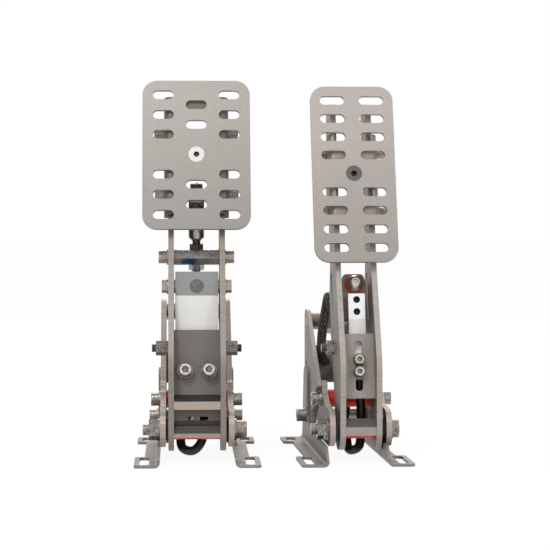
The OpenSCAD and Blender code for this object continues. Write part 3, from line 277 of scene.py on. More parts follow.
def sheet_steel(name, face, edge, metallic=0.45, rough=0.44):
    """Laser-cut stainless: rolled faces with slow stains, and cut edges with fine striations."""
    s = Shader(name)
    is_face = s.ramp(s.math("ABSOLUTE", s.facing()[0]), 0.8, 0.95)
    cloud = s.noise(42, 5, roughness=0.65)
    stain = s.noise(240, 4, roughness=0.7)
    streak = s.noise(1500, 3, (1, 1, 0.06))
    cut = s.noise(900, 3, (0.1, 1, 1))
    tone_face = s.mix(s.ramp(cloud, 0.3, 0.7), shade(face, 0.8), shade(face, 1.06))
    tone_face = s.blot(tone_face, s.ramp(stain, 0.45, 0.75), 0.5, shade(face, 0.62))
    tone_face = s.blot(tone_face, streak, 0.3, shade(face, 0.66))
    tone_edge = s.blot(edge, s.ramp(cut, 0.4, 0.7), 0.5, shade(edge, 0.6))
    colour = s.mix(is_face, tone_edge, tone_face)
    height = s.math("ADD", s.math("MULTIPLY", streak, 0.6), s.math("MULTIPLY", cut, 0.5))
    roughness = s.span(cloud, rough - 0.08, rough + 0.12)
    return s.finish(colour, roughness, metallic, s.bump(height, 0.00014, 0.45))


def blasted_steel(name, colour, metallic=0.45, rough=0.48, speckle=0.5, shaded_bores=(), foot=None):
    """Bead-blasted plate: an even fine grain with slow tone changes, and painted shade on the walls of
    each bore.

    foot is painted shade that darkens the plate towards its lower end: its tone, and the heights
    where it is full and where it starts. Each bore has a point on its axis in metres, the axis, and
    its radius in millimetres.
    """
    s = Shader(name)
    grain = s.noise(850, 4, roughness=0.75)
    cloud = s.noise(24, 5, roughness=0.65)
    tone = s.blot(shade(colour, 1.14), s.ramp(grain, 0.35, 0.65), speckle, shade(colour, 0.6))
    tone = s.blot(tone, s.ramp(cloud, 0.3, 0.7), 0.5, shade(colour, 1.16))
    # Painted shade: the plate darkens towards its lower end
    if foot:
        painted_shade_tone, low_z, high_z = foot
        lower = s.near(s.split(s.coords)[2], low_z, high_z - low_z)
        tone = s.blot(tone, lower, 0.45, painted_shade_tone)
    # Painted shade: the walls of each bore turn dark
    for point, axis, radius in shaded_bores:
        far = s.along(point, axis)[1]
        tone = s.mix(s.near(far, radius * MM, FADE), tone, shade(colour, 0.08))
    roughness = s.span(cloud, rough - 0.05, rough + 0.1)
    return s.finish(tone, roughness, metallic, s.bump(grain, 0.00012, 0.5))


def bar_steel(name, front, top_shade, heel=None):
    """Cut bars: sawn fronts, and rolled upper faces painted dark as shade.

    heel holds the tone of the brake's heel plate and three heights: its upper edge, the lower edge of
    its openings, below which a painted shadow darkens the plate, and the foot bar's upper edge, below
    which the bar's front is a darker copy of the front tone as painted shade.
    """
    s = Shader(name)
    # Painted shade: faces turned upwards take the dark upper tone
    is_top = s.ramp(s.facing()[2], 0.35, 0.6)
    grain = s.noise(900, 4, roughness=0.7)
    cloud = s.noise(90, 4, roughness=0.65)
    tone_front = s.blot(front, s.ramp(cloud, 0.4, 0.7), 0.4, shade(front, 0.75))
    if heel:
        plate_tone, plate_z, shadow_strip_z, foot_z = heel
        height = s.split(s.coords)[2]
        tone_front = s.mix(s.near(height, plate_z, 2 * FADE), tone_front, plate_tone)
        # Painted shadow below the openings, and painted shade on the foot bar's front
        tone_front = s.mix(s.near(height, shadow_strip_z, 4 * FADE), tone_front, shade(plate_tone, 0.3))
        tone_front = s.mix(s.near(height, foot_z, 2 * FADE), tone_front, shade(front, 0.62))
    tone_top = s.mix(s.ramp(grain, 0.4, 0.75), shade(top_shade, 0.75), shade(top_shade, 1.7))
    colour = s.mix(is_top, tone_front, tone_top)
    return s.finish(colour, s.span(grain, 0.4, 0.55), 0.4, s.bump(grain, 0.0002, 0.5))


def turned_steel(
    name, colour, metallic=0.9, rough=0.2, lay=ACROSS_X, wear=0.5,
    threads=(), heads=(), shaded_sockets=(), bright_above=None,
):
    """Zinc-plated or polish-finished fastener steel, with tool marks and stains.

    threads have a point, an axis, a diameter and a pitch; their valleys get painted shade. heads are
    screw heads seen end on, with a painted highlight ring and glints, and painted shade in the
    socket, at the rim and round the head. Each socket is a recess painted dark as shade behind its
    point. Heads and sockets have a point, an axis and a radius. Points are in metres and the other
    sizes in millimetres. bright_above is the height in metres from which the steel is paler.
    """
    s = Shader(name)
    stain = s.noise(420, 4, roughness=0.65)
    marks = s.noise(1300, 3, lay)
    tone = s.mix(s.ramp(marks, 0.35, 0.65), shade(colour, 1 + 0.35 * wear), shade(colour, 1 - 0.55 * wear))
    tone = s.blot(tone, s.ramp(stain, 0.45, 0.65), 0.6 * wear, shade(colour, 0.2))
    if bright_above is not None:
        upper = s.ramp(s.split(s.coords)[2], bright_above, bright_above + MM)
        tone = s.blot(tone, upper, 0.5, shade(colour, 2.4))
    height = s.math("ADD", s.math("MULTIPLY", stain, 0.5), s.math("MULTIPLY", marks, 0.5))
    normal = s.bump(height, 0.0004, 0.4 * wear)
    # Painted shade in the thread valleys
    for point, axis, diameter, pitch in threads:
        wave, on_rod = s.thread(point, axis, diameter, pitch)
        valley_shade = s.math("MULTIPLY", s.near(wave, -0.2, 0.6), on_rod)
        tone = s.blot(tone, valley_shade, 0.75, shade(colour, 0.15))
        normal = s.bump(wave, pitch * 0.3 * MM, 0.8, normal)
    # Painted light on each screw head: a highlight ring with glints, and painted shade in its socket, at
    # its rim and round it
    for point, axis, radius in heads:
        share = s.math("DIVIDE", s.along(point, axis)[1], radius * MM)
        painted_glint = s.ramp(s.noise(700, 3, roughness=0.7), 0.42, 0.55)
        painted_highlight = s.math("MULTIPLY", s.near(share, 0.7, 0.08), s.ramp(share, 0.46, 0.52))
        hole_shade = s.math("MULTIPLY", s.near(share, 0.46, 0.04), s.ramp(share, 0.0, 0.2))
        rim = s.math("MULTIPLY", s.near(share, 1.04, 0.04), s.ramp(share, 0.8, 0.9))
        edge = s.math("MULTIPLY", s.near(share, 1.3, 0.05), s.ramp(share, 1.1, 1.16))
        dark = s.math("MAXIMUM", s.math("MAXIMUM", rim, edge), s.math("MULTIPLY", hole_shade, 0.75))
        tone = s.blot(tone, painted_highlight, s.span(painted_glint, 0.15, 0.9), shade(colour, 1.8))
        tone = s.blot(tone, dark, 0.85, shade(colour, 0.12))
    # Painted shade: each socket turns dark behind its point
    for point, axis, radius in shaded_sockets:
        run, far = s.along(point, axis)
        socket_shade = s.math("MULTIPLY", s.near(far, radius * MM, 1.5 * FADE), s.ramp(run, FADE, 4 * FADE))
        tone = s.mix(socket_shade, tone, shade(colour, 0.06))
    return s.finish(tone, s.span(stain, rough - 0.06, rough + 0.2), metallic, normal)


def hex_bar_steel(name, colour, mark_at, mark_size):
    """Cold-drawn hexagonal bar with a smear of blue thread sealant on its front."""
    s = Shader(name)
    drawn = s.noise(700, 4, (0.12, 1, 1), 0.65)
    spot = s.noise(420, 4, roughness=0.7)
    tone = s.blot(colour, s.ramp(drawn, 0.35, 0.7), 0.6, shade(colour, 0.45))
    rough_face = s.math("MULTIPLY", s.ramp(s.facing()[2], 0.05, 0.2), s.ramp(spot, 0.45, 0.6))
    tone = s.blot(tone, rough_face, 0.7, shade(colour, 0.35))
    offset = s.vector("SUBTRACT", s.coords, mark_at)[0]
    reach = s.vector("LENGTH", s.vector("DIVIDE", offset, mark_size)[0])["Value"]
    ragged = s.math("ADD", reach, s.span(spot, -0.9, 1.1))
    tone = s.mix(s.near(ragged, 0.75, 0.25), tone, rgb(60, 132, 196))
    return s.finish(tone, s.span(drawn, 0.28, 0.45), 0.6, s.bump(drawn, 0.0002, 0.5))


def anodised(name, colour, deep):
    """Anodised aluminium: satin, with turning marks and a slightly uneven dye."""
    s = Shader(name)
    cloud = s.noise(60, 3)
    marks = s.noise(1800, 2, (1, 0.15, 0.15))
    tone = s.mix(s.ramp(cloud, 0.3, 0.75), colour, deep)
    return s.finish(tone, s.span(marks, 0.28, 0.45), 0.15, s.bump(marks, 0.00008, 0.4))


def plastic(name, colour, rough=0.5, bump=0.00006):
    """Moulded plastic or rubber: a fine even texture and a slow change of tone."""
    s = Shader(name)
    fine = s.noise(1500, 3)
    cloud = s.noise(45, 2)
    tone = s.blot(colour, cloud, 0.5, shade(colour, 1.6, 0.004))
    return s.finish(tone, s.span(fine, rough - 0.08, rough + 0.1), 0.0, s.bump(fine, bump, 0.6))


def potting(name, colour):
    """Poured white compound: soft sheen with slow waves and a few pits."""
    s = Shader(name)
    wave = s.noise(70, 2)
    pits = s.noise(900, 2)
    tone = s.blot(colour, wave, 0.5, shade(colour, 0.86))
    height = s.math("ADD", wave, s.math("MULTIPLY", pits, 0.12))
    return s.finish(tone, s.span(wave, 0.3, 0.42), 0.0, s.bump(height, 0.0006, 0.35))


# Places and axes that the materials and the spring units need

# In each module's frame, in millimetres: the arms' cross bolt, and where each rod hangs on its arm
ARM_BOLT = (0, 66.8, 79.2)
BRAKE_ROD_AT, BRAKE_ROD_ANGLE = (0, 87.083, 117.561), math.radians(-12.796)
THROTTLE_ROD_AT, THROTTLE_ROD_ANGLE = (0, 61.827, 126.201), math.radians(-18.337)
# Directions along the cross bolts
ACROSS_BRAKE = Vector((1, 0, 0))
ACROSS_THROTTLE = Vector((math.cos(THROTTLE_YAW), math.sin(THROTTLE_YAW), 0))
# Vertices this near to the first one, in metres, are on the same flat face
FLATNESS = 0.05 * MM


def rod_axis(angle, yaw=0.0):
    """The direction to the rear of a rod that rises by an angle."""
    return Matrix.Rotation(yaw, 3, "Z") @ Vector((0, math.cos(angle), math.sin(angle)))


BRAKE_ROD_AXIS = rod_axis(BRAKE_ROD_ANGLE)
THROTTLE_ROD_AXIS = rod_axis(THROTTLE_ROD_ANGLE, THROTTLE_YAW)


def middle(node):
    """The middle of a CAD node's box."""
    low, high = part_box(node)
    return (Vector(low) + Vector(high)) / 2


def front_of(node, axis):
    """The middle of the node's first flat face along an axis."""
    corners = [vertex.co for vertex in nodes[node].data.vertices]
    first = min(corner.dot(axis) for corner in corners)
    rim = [corner for corner in corners if corner.dot(axis) < first + FLATNESS]
    return sum(rim, Vector()) / len(rim)


def inward(tilt, yaw=0.0):
    """The direction into a face or front plate that leans back from the driver."""
    return Matrix.Rotation(yaw, 3, "Z") @ Vector((0, math.cos(tilt), -math.sin(tilt)))


# How far the faces lean back, and the arms with their cells and front plates
FACE_TILT = math.radians(17)
SPINE_TILT = math.radians(12)
FACE_IN_BRAKE = inward(FACE_TILT)
FACE_IN_THROTTLE = inward(FACE_TILT, THROTTLE_YAW)
SPINE_IN_BRAKE = inward(SPINE_TILT)
SPINE_IN_THROTTLE = inward(SPINE_TILT, THROTTLE_YAW)
# The brake's angle link runs up through its hexagonal bar and leans towards the driver
LINK_LOW = middle("brake_angle_bar")
LINK_LEAN = math.radians(8)
LINK_AXIS = Vector((0, -math.sin(LINK_LEAN), math.cos(LINK_LEAN)))

# Y and Z of the arms' pivot in each module's frame, in millimetres
PIVOT = (38, 23)
# Diameter and pitch of the two thread sizes
M6 = (6, 1)
M8 = (8, 1.25)
# The brake cell's two front screws: how far up the arm, and how far from its centre plane
FRONT_SCREW_V = 41.3
FRONT_SCREW_X = 8.4
# How far up the arm the throttle cell's screws and its open holes are
THROTTLE_SCREW_V = (39.6, 48.4)
THROTTLE_HOLE_V = (84, 92.8)
# Radii of the screw heads, of the sockets in the face screws and of the throttle cell's holes
BRAKE_HEAD_R = 5
THROTTLE_HEAD_R = 4
FACE_SOCKET_R = 2.35
CELL_HOLE_R = 2.5
# A start in front of everything on the arm
AHEAD = 30
# The smear on the hexagonal bar: its place from the bar's middle, and its half sizes
SMEAR_SHIFT = (-5.4, -5, -3.4)
SMEAR_SIZE = (7.5, 6, 2.6)


def on_spine(x, v):
    """A point v up the arm from its pivot, on the arm's centre line."""
    return (x, PIVOT[0] + v * math.sin(SPINE_TILT), PIVOT[1] + v * math.cos(SPINE_TILT))


# Where the materials paint shade in holes, sockets and thread valleys, and highlights and shade on screw
# heads: a point, an axis and the sizes
CELL_BORES = [
    (throttle(*on_spine(0, v)) - SPINE_IN_THROTTLE * AHEAD * MM, SPINE_IN_THROTTLE, CELL_HOLE_R)
    for v in THROTTLE_HOLE_V
]
BRAKE_PAINTED_HEADS = [
    (brake(*on_spine(x, FRONT_SCREW_V)), SPINE_IN_BRAKE, BRAKE_HEAD_R)
    for x in (-FRONT_SCREW_X, FRONT_SCREW_X)
]
THROTTLE_PAINTED_HEADS = [
    (throttle(*on_spine(0, v)), SPINE_IN_THROTTLE, THROTTLE_HEAD_R) for v in THROTTLE_SCREW_V
]
BRAKE_SOCKET = (front_of("brake_face_screw", FACE_IN_BRAKE), FACE_IN_BRAKE, FACE_SOCKET_R)
THROTTLE_SOCKET = (front_of("throttle_face_screw", FACE_IN_THROTTLE), FACE_IN_THROTTLE, FACE_SOCKET_R)
BRAKE_STUD_THREAD = (brake(*ARM_BOLT), ACROSS_BRAKE, *M6)
THROTTLE_STUD_THREAD = (throttle(*ARM_BOLT), ACROSS_THROTTLE, *M6)
LINK_THREAD = (LINK_LOW, LINK_AXIS, *M6)
BRAKE_ROD_THREAD = (brake(*BRAKE_ROD_AT), BRAKE_ROD_AXIS, *M8)
THROTTLE_ROD_THREAD = (throttle(*THROTTLE_ROD_AT), THROTTLE_ROD_AXIS, *M8)

FASTENER = rgb(175, 168, 160)
STUD = rgb(138, 130, 124)
# Painted shade that darkens the lower part of each face: its tone, and the heights where it is full and
# where it starts
BRAKE_FACE_PAINTED_SHADE = (rgb(116, 115, 112), 0.165, 0.26)
THROTTLE_FACE_PAINTED_SHADE = (rgb(120, 118, 113), 0.145, 0.25)
# The brake's heel plate: its tone, its upper edge, its openings' lower edge with a painted shadow below
# it, and the foot bar's upper edge with painted shade on the bar's front below it
HEEL = (rgb(90, 86, 82), 0.038, 0.0302, 0.024)
# The brake's side screws and angle bar screws are above this height, and its duller cross bolt below
SIDE_SCREW_Z = 0.12


MATERIALS = {
    "plate": sheet_steel("plate_steel", rgb(128, 121, 114), rgb(142, 135, 128)),
    "throttle_arm": sheet_steel("throttle_arm_steel", rgb(146, 138, 131), rgb(170, 162, 155)),
    "tower": sheet_steel("tower_steel", rgb(128, 121, 114), rgb(178, 165, 155)),
    "brake_face": blasted_steel("brake_face_steel", rgb(156, 151, 145), foot=BRAKE_FACE_PAINTED_SHADE),
    "throttle_face": blasted_steel("throttle_face_steel", rgb(170, 162, 156), foot=THROTTLE_FACE_PAINTED_SHADE),
    "bracket": blasted_steel("bracket_steel", rgb(140, 133, 126)),
    "face_bracket": blasted_steel("face_bracket_steel", rgb(106, 99, 93)),
    "front": blasted_steel("front_steel", rgb(108, 104, 99)),
    "throttle_front": blasted_steel("throttle_front_steel", rgb(150, 142, 136)),
    "bar": bar_steel("bar_steel", rgb(190, 176, 164), rgb(60, 59, 57), HEEL),
    "throttle_bar": bar_steel("throttle_bar_steel", rgb(160, 151, 143), rgb(106, 101, 96)),
    "bright": turned_steel("bright_steel", FASTENER, wear=0.7),
    "pivot_bolts": turned_steel("pivot_bolt_steel", rgb(152, 145, 138), wear=0.7),
    "studs": turned_steel(
        "brake_stud_steel", STUD, wear=0.8, threads=[BRAKE_STUD_THREAD], bright_above=SIDE_SCREW_Z,
    ),
    "throttle_studs": turned_steel(
        "throttle_stud_steel", FASTENER, wear=0.7, threads=[THROTTLE_STUD_THREAD],
        heads=THROTTLE_PAINTED_HEADS, shaded_sockets=CELL_BORES,
    ),
    "brake_rod": turned_steel("brake_rod_steel", FASTENER, wear=0.3, threads=[BRAKE_ROD_THREAD]),
    "throttle_rod": turned_steel("throttle_rod_steel", FASTENER, wear=0.3, threads=[THROTTLE_ROD_THREAD]),
    "link": turned_steel("link_steel", rgb(192, 181, 169), lay=ALONG_Z, wear=0.9, threads=[LINK_THREAD]),
    "face_screw": turned_steel(
        "face_screw_steel", rgb(214, 210, 205), 0.5, 0.25, wear=0.15, shaded_sockets=[BRAKE_SOCKET],
    ),
    "oxide": turned_steel("black_oxide", rgb(104, 102, 100), 0.7, 0.28, shaded_sockets=[THROTTLE_SOCKET]),
    "ball": turned_steel("ball_steel", rgb(200, 194, 186), rough=0.12),
    "spring": turned_steel("spring_steel", rgb(150, 147, 142), rough=0.22, wear=0.2),
    "dull": turned_steel("dull_steel", rgb(140, 135, 128), rough=0.3, wear=0.25),
    "rod_end": turned_steel("rod_end_steel", rgb(116, 112, 107), rough=0.3, lay=EVEN, wear=0.75),
    "cell_screws": turned_steel("cell_screw_steel", rgb(184, 176, 167), wear=0.8, heads=BRAKE_PAINTED_HEADS),
    # Painted light: the face bolts sit in the face's shade, so their steel is paler than the other
    # fasteners'
    "face_bolts": turned_steel("face_bolt_steel", rgb(196, 188, 180), 0.45, 0.3),
    "hex_bar": hex_bar_steel(
        "hex_bar_steel", rgb(226, 223, 219), LINK_LOW + Vector(SMEAR_SHIFT) * MM, Vector(SMEAR_SIZE) * MM,
    ),
    "red": anodised("red_anodised", rgb(250, 54, 20), rgb(222, 36, 14)),
    "cell": blasted_steel("brake_cell_aluminium", rgb(138, 138, 138), 0.35, 0.4),
    "bright_cell": blasted_steel(
        "throttle_cell_aluminium", rgb(236, 236, 236), 0.2, 0.34, speckle=0.12, shaded_bores=CELL_BORES,
    ),
    "potting": potting("white_potting", rgb(233, 231, 226)),
    "black": plastic("black_plastic", rgb(32, 31, 31)),
    "rubber": plastic("black_rubber", rgb(26, 26, 26), 0.7, 0.0001),
}
# The look of each CAD node that keeps its shape
LOOKS = {
    "pivot_bolts": "pivot_bolts",
    "pivot_tubes": "red",
    "stop_bars": "red",
    "rear_bars": "spring",
    "base_screws": "bright",
    "lead_sockets": "black",
    "rear_plates": "bracket",
    "brake_bracket_left": "plate",
    "brake_bracket_right": "plate",
    "brake_pivot_plate_left": "tower",
    "brake_pivot_plate_right": "tower",
    "throttle_bracket_left": "plate",
    "throttle_bracket_right": "plate",
    "throttle_pivot_plate_left": "tower",
    "throttle_pivot_plate_right": "tower",
    "throttle_tower_left": "tower",
    "brake_arm_left": "plate",
    "brake_arm_right": "plate",
    "brake_arm_bushes": "black",
    "brake_front_plate": "front",
    "brake_cross_bars": "bar",
    "brake_load_cell": "cell",
    "brake_cell_potting": "potting",
    "brake_cell_screws": "cell_screws",
    "brake_side_screws": "studs",
    "brake_rod_end": "rod_end",
    "brake_angle_bar": "hex_bar",
    "brake_angle_link": "link",
    "brake_face_bracket": "face_bracket",
    "brake_face_plate": "brake_face",
    "brake_face_screw": "face_screw",
    "brake_face_bolts": "face_bolts",
    "brake_rod": "brake_rod",
    "brake_fork_pin": "spring",
    "brake_preload_knob": "red",
    "brake_rod_nuts": "bright",
    "brake_trunnion": "dull",
    "throttle_arm_left": "throttle_arm",
    "throttle_arm_right": "throttle_arm",
    "throttle_arm_bushes": "black",
    "throttle_front_plate": "throttle_front",
    "throttle_cross_bar": "throttle_bar",
    "throttle_load_cell": "bright_cell",
    "throttle_cell_potting": "potting",
    "throttle_cell_screws": "throttle_studs",
    "throttle_rod_bracket": "bracket",
    "throttle_seat_ring": "red",
    "throttle_face_bracket": "bracket",
    "throttle_face_plate": "throttle_face",
    "throttle_face_screw": "oxide",
    "throttle_face_bolts": "face_bolts",
    "throttle_rod": "throttle_rod",
    "throttle_preload_knob": "red",
    "throttle_rod_nuts": "ball",
    "throttle_trunnion": "dull",
}
# The width of softened edges in millimetres, and the looks that have it
SOFTENED = {
    0.2: ("face_screw", "oxide"),
    0.3: (
        "plate", "tower", "bracket", "face_bracket", "front", "bar", "studs", "link", "red", "cell",
        "throttle_arm", "throttle_front", "throttle_bar", "throttle_studs", "bright_cell",
    ),
    0.35: ("bright", "pivot_bolts", "face_bolts", "cell_screws"),
    0.4: ("dull", "rod_end", "hex_bar", "potting"),
    0.5: ("brake_face", "throttle_face"),
}
EDGES = {look: width for width, softened in SOFTENED.items() for look in softened}
# Steps across a softened edge, and the least angle that counts as an edge
EDGE_SEGMENTS = 2
SHARP_ANGLE = math.radians(40)


def dress(obj, material, edge_mm):
    """Gives a CAD node its material and, where a width is given, softened edges."""
    obj.data.materials.clear()
    obj.data.materials.append(material)
    if edge_mm:
        bevel = obj.modifiers.new("softened_edges", "BEVEL")
        bevel.width = edge_mm * MM
        bevel.segments = EDGE_SEGMENTS
        bevel.limit_method = "ANGLE"
        bevel.angle_limit = SHARP_ANGLE


for node_name, look in LOOKS.items():
    dress(nodes[node_name], MATERIALS[look], EDGES.get(look, 0))


# Leads

# The CAD source's routes, in each module's frame, in millimetres
BRAKE_ROUTE = [
    (5, 47.606, 54.607), (5, 47.606, 46.607), (5, 48, 36.304), (5, 49, 24), (3, 47, 13), (-3, 45, 7),
    (-10.5, 47, 9), (-12, 53, 18), (-12, 64, 24), (-9, 84, 24), (-4, 98, 34), (0, 106, 52),
    (0, 115, 60), (0, 123.6, 60),
]
THROTTLE_ROUTE = [
    (2, 49.035, 56.141), (2, 48.035, 48.141), (3, 50, 36.07), (3, 50, 20), (1.5, 47, 10), (-3, 45, 7),
    (-6.5, 47.5, 8), (-7.2, 54, 18), (-7, 64, 24), (-5, 84, 24), (-2, 98, 34), (0, 106, 52),
    (0, 115, 60), (0, 123.6, 60),
]
SLEEVE_ROUTE = [
    (-5, 60, 84), (-5, 68, 86), (-5, 80, 88), (-6.5, 92, 92), (-10, 102.5, 100), (-13.2, 108, 111),
    (-14, 112, 114), (-15.2, 114, 106), (-17, 115, 95), (-18.2, 116, 84), (-18.2, 118, 74),
    (-16.5, 124, 66.5), (-13.5, 132.6, 64),
]
# Outer diameters, in metres
LEAD_D = 6.5 * MM
SLEEVE_D = 7 * MM
# Points on each stretch of a route, as in the CAD source
STEPS = 8
# Two Y values on each lead in its module's frame, which lead() takes but doesn't use
LEAD_BEND = (50, 66)
SLEEVE_BEND = (66, 105)
# The woven sleeve: strands round it each way, and how far apart they cross along it, in metres
BRAID_STRANDS = 8
BRAID_PITCH = 3.4 * MM


def smooth_path(points, steps):
    """The CAD source's smooth route through the points."""
    out = []
    last = len(points) - 1
    for i in range(last):
        a, b = points[max(i - 1, 0)], points[i]
        c, d = points[i + 1], points[min(i + 2, last)]
        for k in range(steps):
            t = k / steps
            out.append(
                0.5 * (2 * b + (c - a) * t + (2 * a - 5 * b + 4 * c - d) * t * t
                       + (3 * b - a - 3 * c + d) * t ** 3)
            )
    out.append(points[last])
    return out


def mesh_object(name, bm):
    """Turns the mesh data into an object of the scene, with its faces turned outwards."""
    bmesh.ops.recalc_face_normals(bm, faces=bm.faces)
    mesh = bpy.data.meshes.new(name)
    bm.to_mesh(mesh)
    bm.free()
    obj = bpy.data.objects.new(name, mesh)
    bpy.context.scene.collection.objects.link(obj)
    return obj


def tube(name, path, radius, sides=16):
    """A closed tube along a path, with a UV map: U round it and V along it in metres."""
    bm = bmesh.new()
    uv = bm.loops.layers.uv.new("UVMap")
    normal = Vector((1, 0, 0))
    rings, travelled, along = [], [], 0.0
    for i, p in enumerate(path):
        tangent = (path[min(i + 1, len(path) - 1)] - path[max(i - 1, 0)]).normalized()
        normal = (normal - tangent * normal.dot(tangent)).normalized()
        other = tangent.cross(normal)
        if i:
            along += (p - path[i - 1]).length
        travelled.append(along)
        ring = []
        for k in range(sides):
            a = 2 * math.pi * k / sides
            ring.append(bm.verts.new(p + radius * (math.cos(a) * normal + math.sin(a) * other)))
        rings.append(ring)
    for i in range(len(path) - 1):
        for k in range(sides):
            n = (k + 1) % sides
            face = bm.faces.new((rings[i][k], rings[i][n], rings[i + 1][n], rings[i + 1][k]))
            face.smooth = True
            u = (k / sides, (k + 1) / sides, (k + 1) / sides, k / sides)
            v = (travelled[i], travelled[i], travelled[i + 1], travelled[i + 1])
            for loop, lu, lv in zip(face.loops, u, v):
                loop[uv].uv = (lu, lv)
    bm.faces.new(rings[0][::-1])
    bm.faces.new(rings[-1])
    return mesh_object(name, bm)


def jacket_material():
    """Smooth black cable jacket with a little dust."""
    s = Shader("cable_jacket")
    dust = s.noise(160, 4, roughness=0.7)
    tone = s.mix(s.ramp(dust, 0.55, 0.9), rgb(24, 24, 25), rgb(58, 56, 54))
    return s.finish(tone, s.span(dust, 0.3, 0.5), 0.0, s.bump(dust, 0.00008, 0.5))


def braid_material():
    """Woven sleeve: two sets of crossing strands, drawn from the tube's UV map, with painted highlights on
    the strands' crests.
    """
    s = Shader("braided_sleeve")
    u, v = s.split(s.add("ShaderNodeTexCoord").outputs["UV"])[:2]
    turns = s.math("MULTIPLY", u, 2 * math.pi * BRAID_STRANDS)
    run = s.math("MULTIPLY", v, 2 * math.pi / BRAID_PITCH)
    one = s.math("SINE", s.math("ADD", turns, run))
    two = s.math("SINE", s.math("SUBTRACT", turns, run))
    over = s.math("MULTIPLY", one, two)
    strand = s.math("MAXIMUM", one, two)
    fleck = s.noise(800, 3)
    tone = s.mix(s.ramp(strand, 0.2, 0.95), rgb(14, 13, 13), rgb(62, 58, 55))
    # Painted highlights: near-white flecks on the strands' crests
    painted_shine = s.math("MULTIPLY", s.ramp(strand, 0.93, 1.0), s.ramp(fleck, 0.56, 0.64))
    tone = s.mix(painted_shine, tone, rgb(214, 210, 204))
    height = s.math("ADD", strand, s.math("MULTIPLY", over, 0.5))
    return s.finish(tone, 0.5, 0.0, s.bump(height, 0.0006, 0.9))


JACKET = jacket_material()
BRAID = braid_material()


def lead(name, route, place, diameter, node, material, bend):
    """A lead along its route, in place of its CAD node. bend, a stretch between two Y values of its
    module, is not used.
    """
    path = smooth_path([Vector(p) for p in route], STEPS)
    path = [place(*p) for p in path]
    obj = tube(name, path, diameter / 2)
    obj.data.materials.append(material)
    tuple(place(0, bend[0], 0))
    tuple(place(0, bend[1], 0))
    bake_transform(obj)
    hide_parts(node)


lead(
    "brake_lead_jacket", BRAKE_ROUTE, brake, LEAD_D, "brake_lead", JACKET,
    LEAD_BEND,
)
lead(
    "throttle_lead_jacket", THROTTLE_ROUTE, throttle, LEAD_D, "throttle_lead", JACKET,
    LEAD_BEND,
)
lead(
    "throttle_braid", SLEEVE_ROUTE, throttle, SLEEVE_D, "throttle_sleeved_lead", BRAID,
    SLEEVE_BEND,
)


# Spring and rubber rings

# The coil in millimetres: where it starts and ends along the rod, its middle radius, wire and turns
SPRING_FROM, SPRING_TO = 22.5, 96.03
SPRING_RADIUS, SPRING_WIRE, SPRING_TURNS = 7.8, 2.4, 9
# Points on each turn, and sides of the wire
TURN_STEPS = 32
WIRE_SIDES = 12
# How much the turns crowd together at both ends, as in the CAD source
SPRING_CROWDING = 26 / 360
# The rings in millimetres: where they start and end along the rod, their size and number
RUBBER_FROM, RUBBER_TO = 26.6, 66.47
RUBBER_D, RUBBER_BORE, RUBBER_COUNT = 26, 9.2, 3
# How far a ring's rim is crowned, and the radius of its corners
RUBBER_CROWN = 0.3
RUBBER_CORNER = 1.2
# The steel discs: the gap for each, the play on its sides, its inset from the rings, its corners
DISC_T = 0.5
DISC_PLAY = 0.02
DISC_INSET = 0.8
DISC_CORNER = 0.1
# Points on each rounded corner, and steps round the rod
CORNER_STEPS = 3
ROUND_STEPS = 48


def on_rod(at, angle, x, s, h):
    """A point s along the rod and h above it, in the module's frame."""
    y = at[1] + s * math.cos(angle) - h * math.sin(angle)
    z = at[2] + s * math.sin(angle) + h * math.cos(angle)
    return (x, y, z)


def brake_on_rod(x, s, h):
    return brake(*on_rod(BRAKE_ROD_AT, BRAKE_ROD_ANGLE, x, s, h))


def throttle_on_rod(x, s, h):
    return throttle(*on_rod(THROTTLE_ROD_AT, THROTTLE_ROD_ANGLE, x, s, h))


def make_spring():
    """The coil: closed ends, with a rise that slows at both ends."""
    path = []
    count = SPRING_TURNS * TURN_STEPS
    for i in range(count + 1):
        t = i / count
        turn = 2 * math.pi * SPRING_TURNS * t
        rise = t - math.sin(2 * math.pi * t) * SPRING_CROWDING
        s = SPRING_FROM + (SPRING_TO - SPRING_FROM) * rise
        path.append(throttle_on_rod(SPRING_RADIUS * math.cos(turn), s, SPRING_RADIUS * math.sin(turn)))
    coil = tube("throttle_coil", path, SPRING_WIRE / 2 * MM, WIRE_SIDES)
    coil.data.materials.append(MATERIALS["spring"])
    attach(coil, "throttle_rod")
    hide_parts("throttle_spring")
    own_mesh(coil)


def ring_profile(s0, s1, outer, inner, crown, corner):
    """Outline of a ring with rounded corners and a slightly crowned rim, as (s, radius) pairs."""
    points = [(s0, inner), (s1, inner)]
    for k in range(CORNER_STEPS + 1):
        a = math.pi / 2 * k / CORNER_STEPS
        points.append((s1 - corner + corner * math.cos(a), outer - corner + corner * math.sin(a)))
    points.append(((s0 + s1) / 2, outer + crown))
    for k in range(CORNER_STEPS + 1):
        a = math.pi / 2 * (1 + k / CORNER_STEPS)
        points.append((s0 + corner + corner * math.cos(a), outer - corner + corner * math.sin(a)))
    return points


def turn_profile(bm, profile, material_index):
    """Turns a closed outline round the brake's rod."""
    rings = []
    for k in range(ROUND_STEPS):
        a = 2 * math.pi * k / ROUND_STEPS
        ring = [bm.verts.new(brake_on_rod(r * math.cos(a), s, r * math.sin(a))) for s, r in profile]
        rings.append(ring)
    for k in range(ROUND_STEPS):
        here, there = rings[k], rings[(k + 1) % ROUND_STEPS]
        for i in range(len(profile)):
            j = (i + 1) % len(profile)
            face = bm.faces.new((here[i], here[j], there[j], there[i]))
            face.material_index = material_index
            face.smooth = True


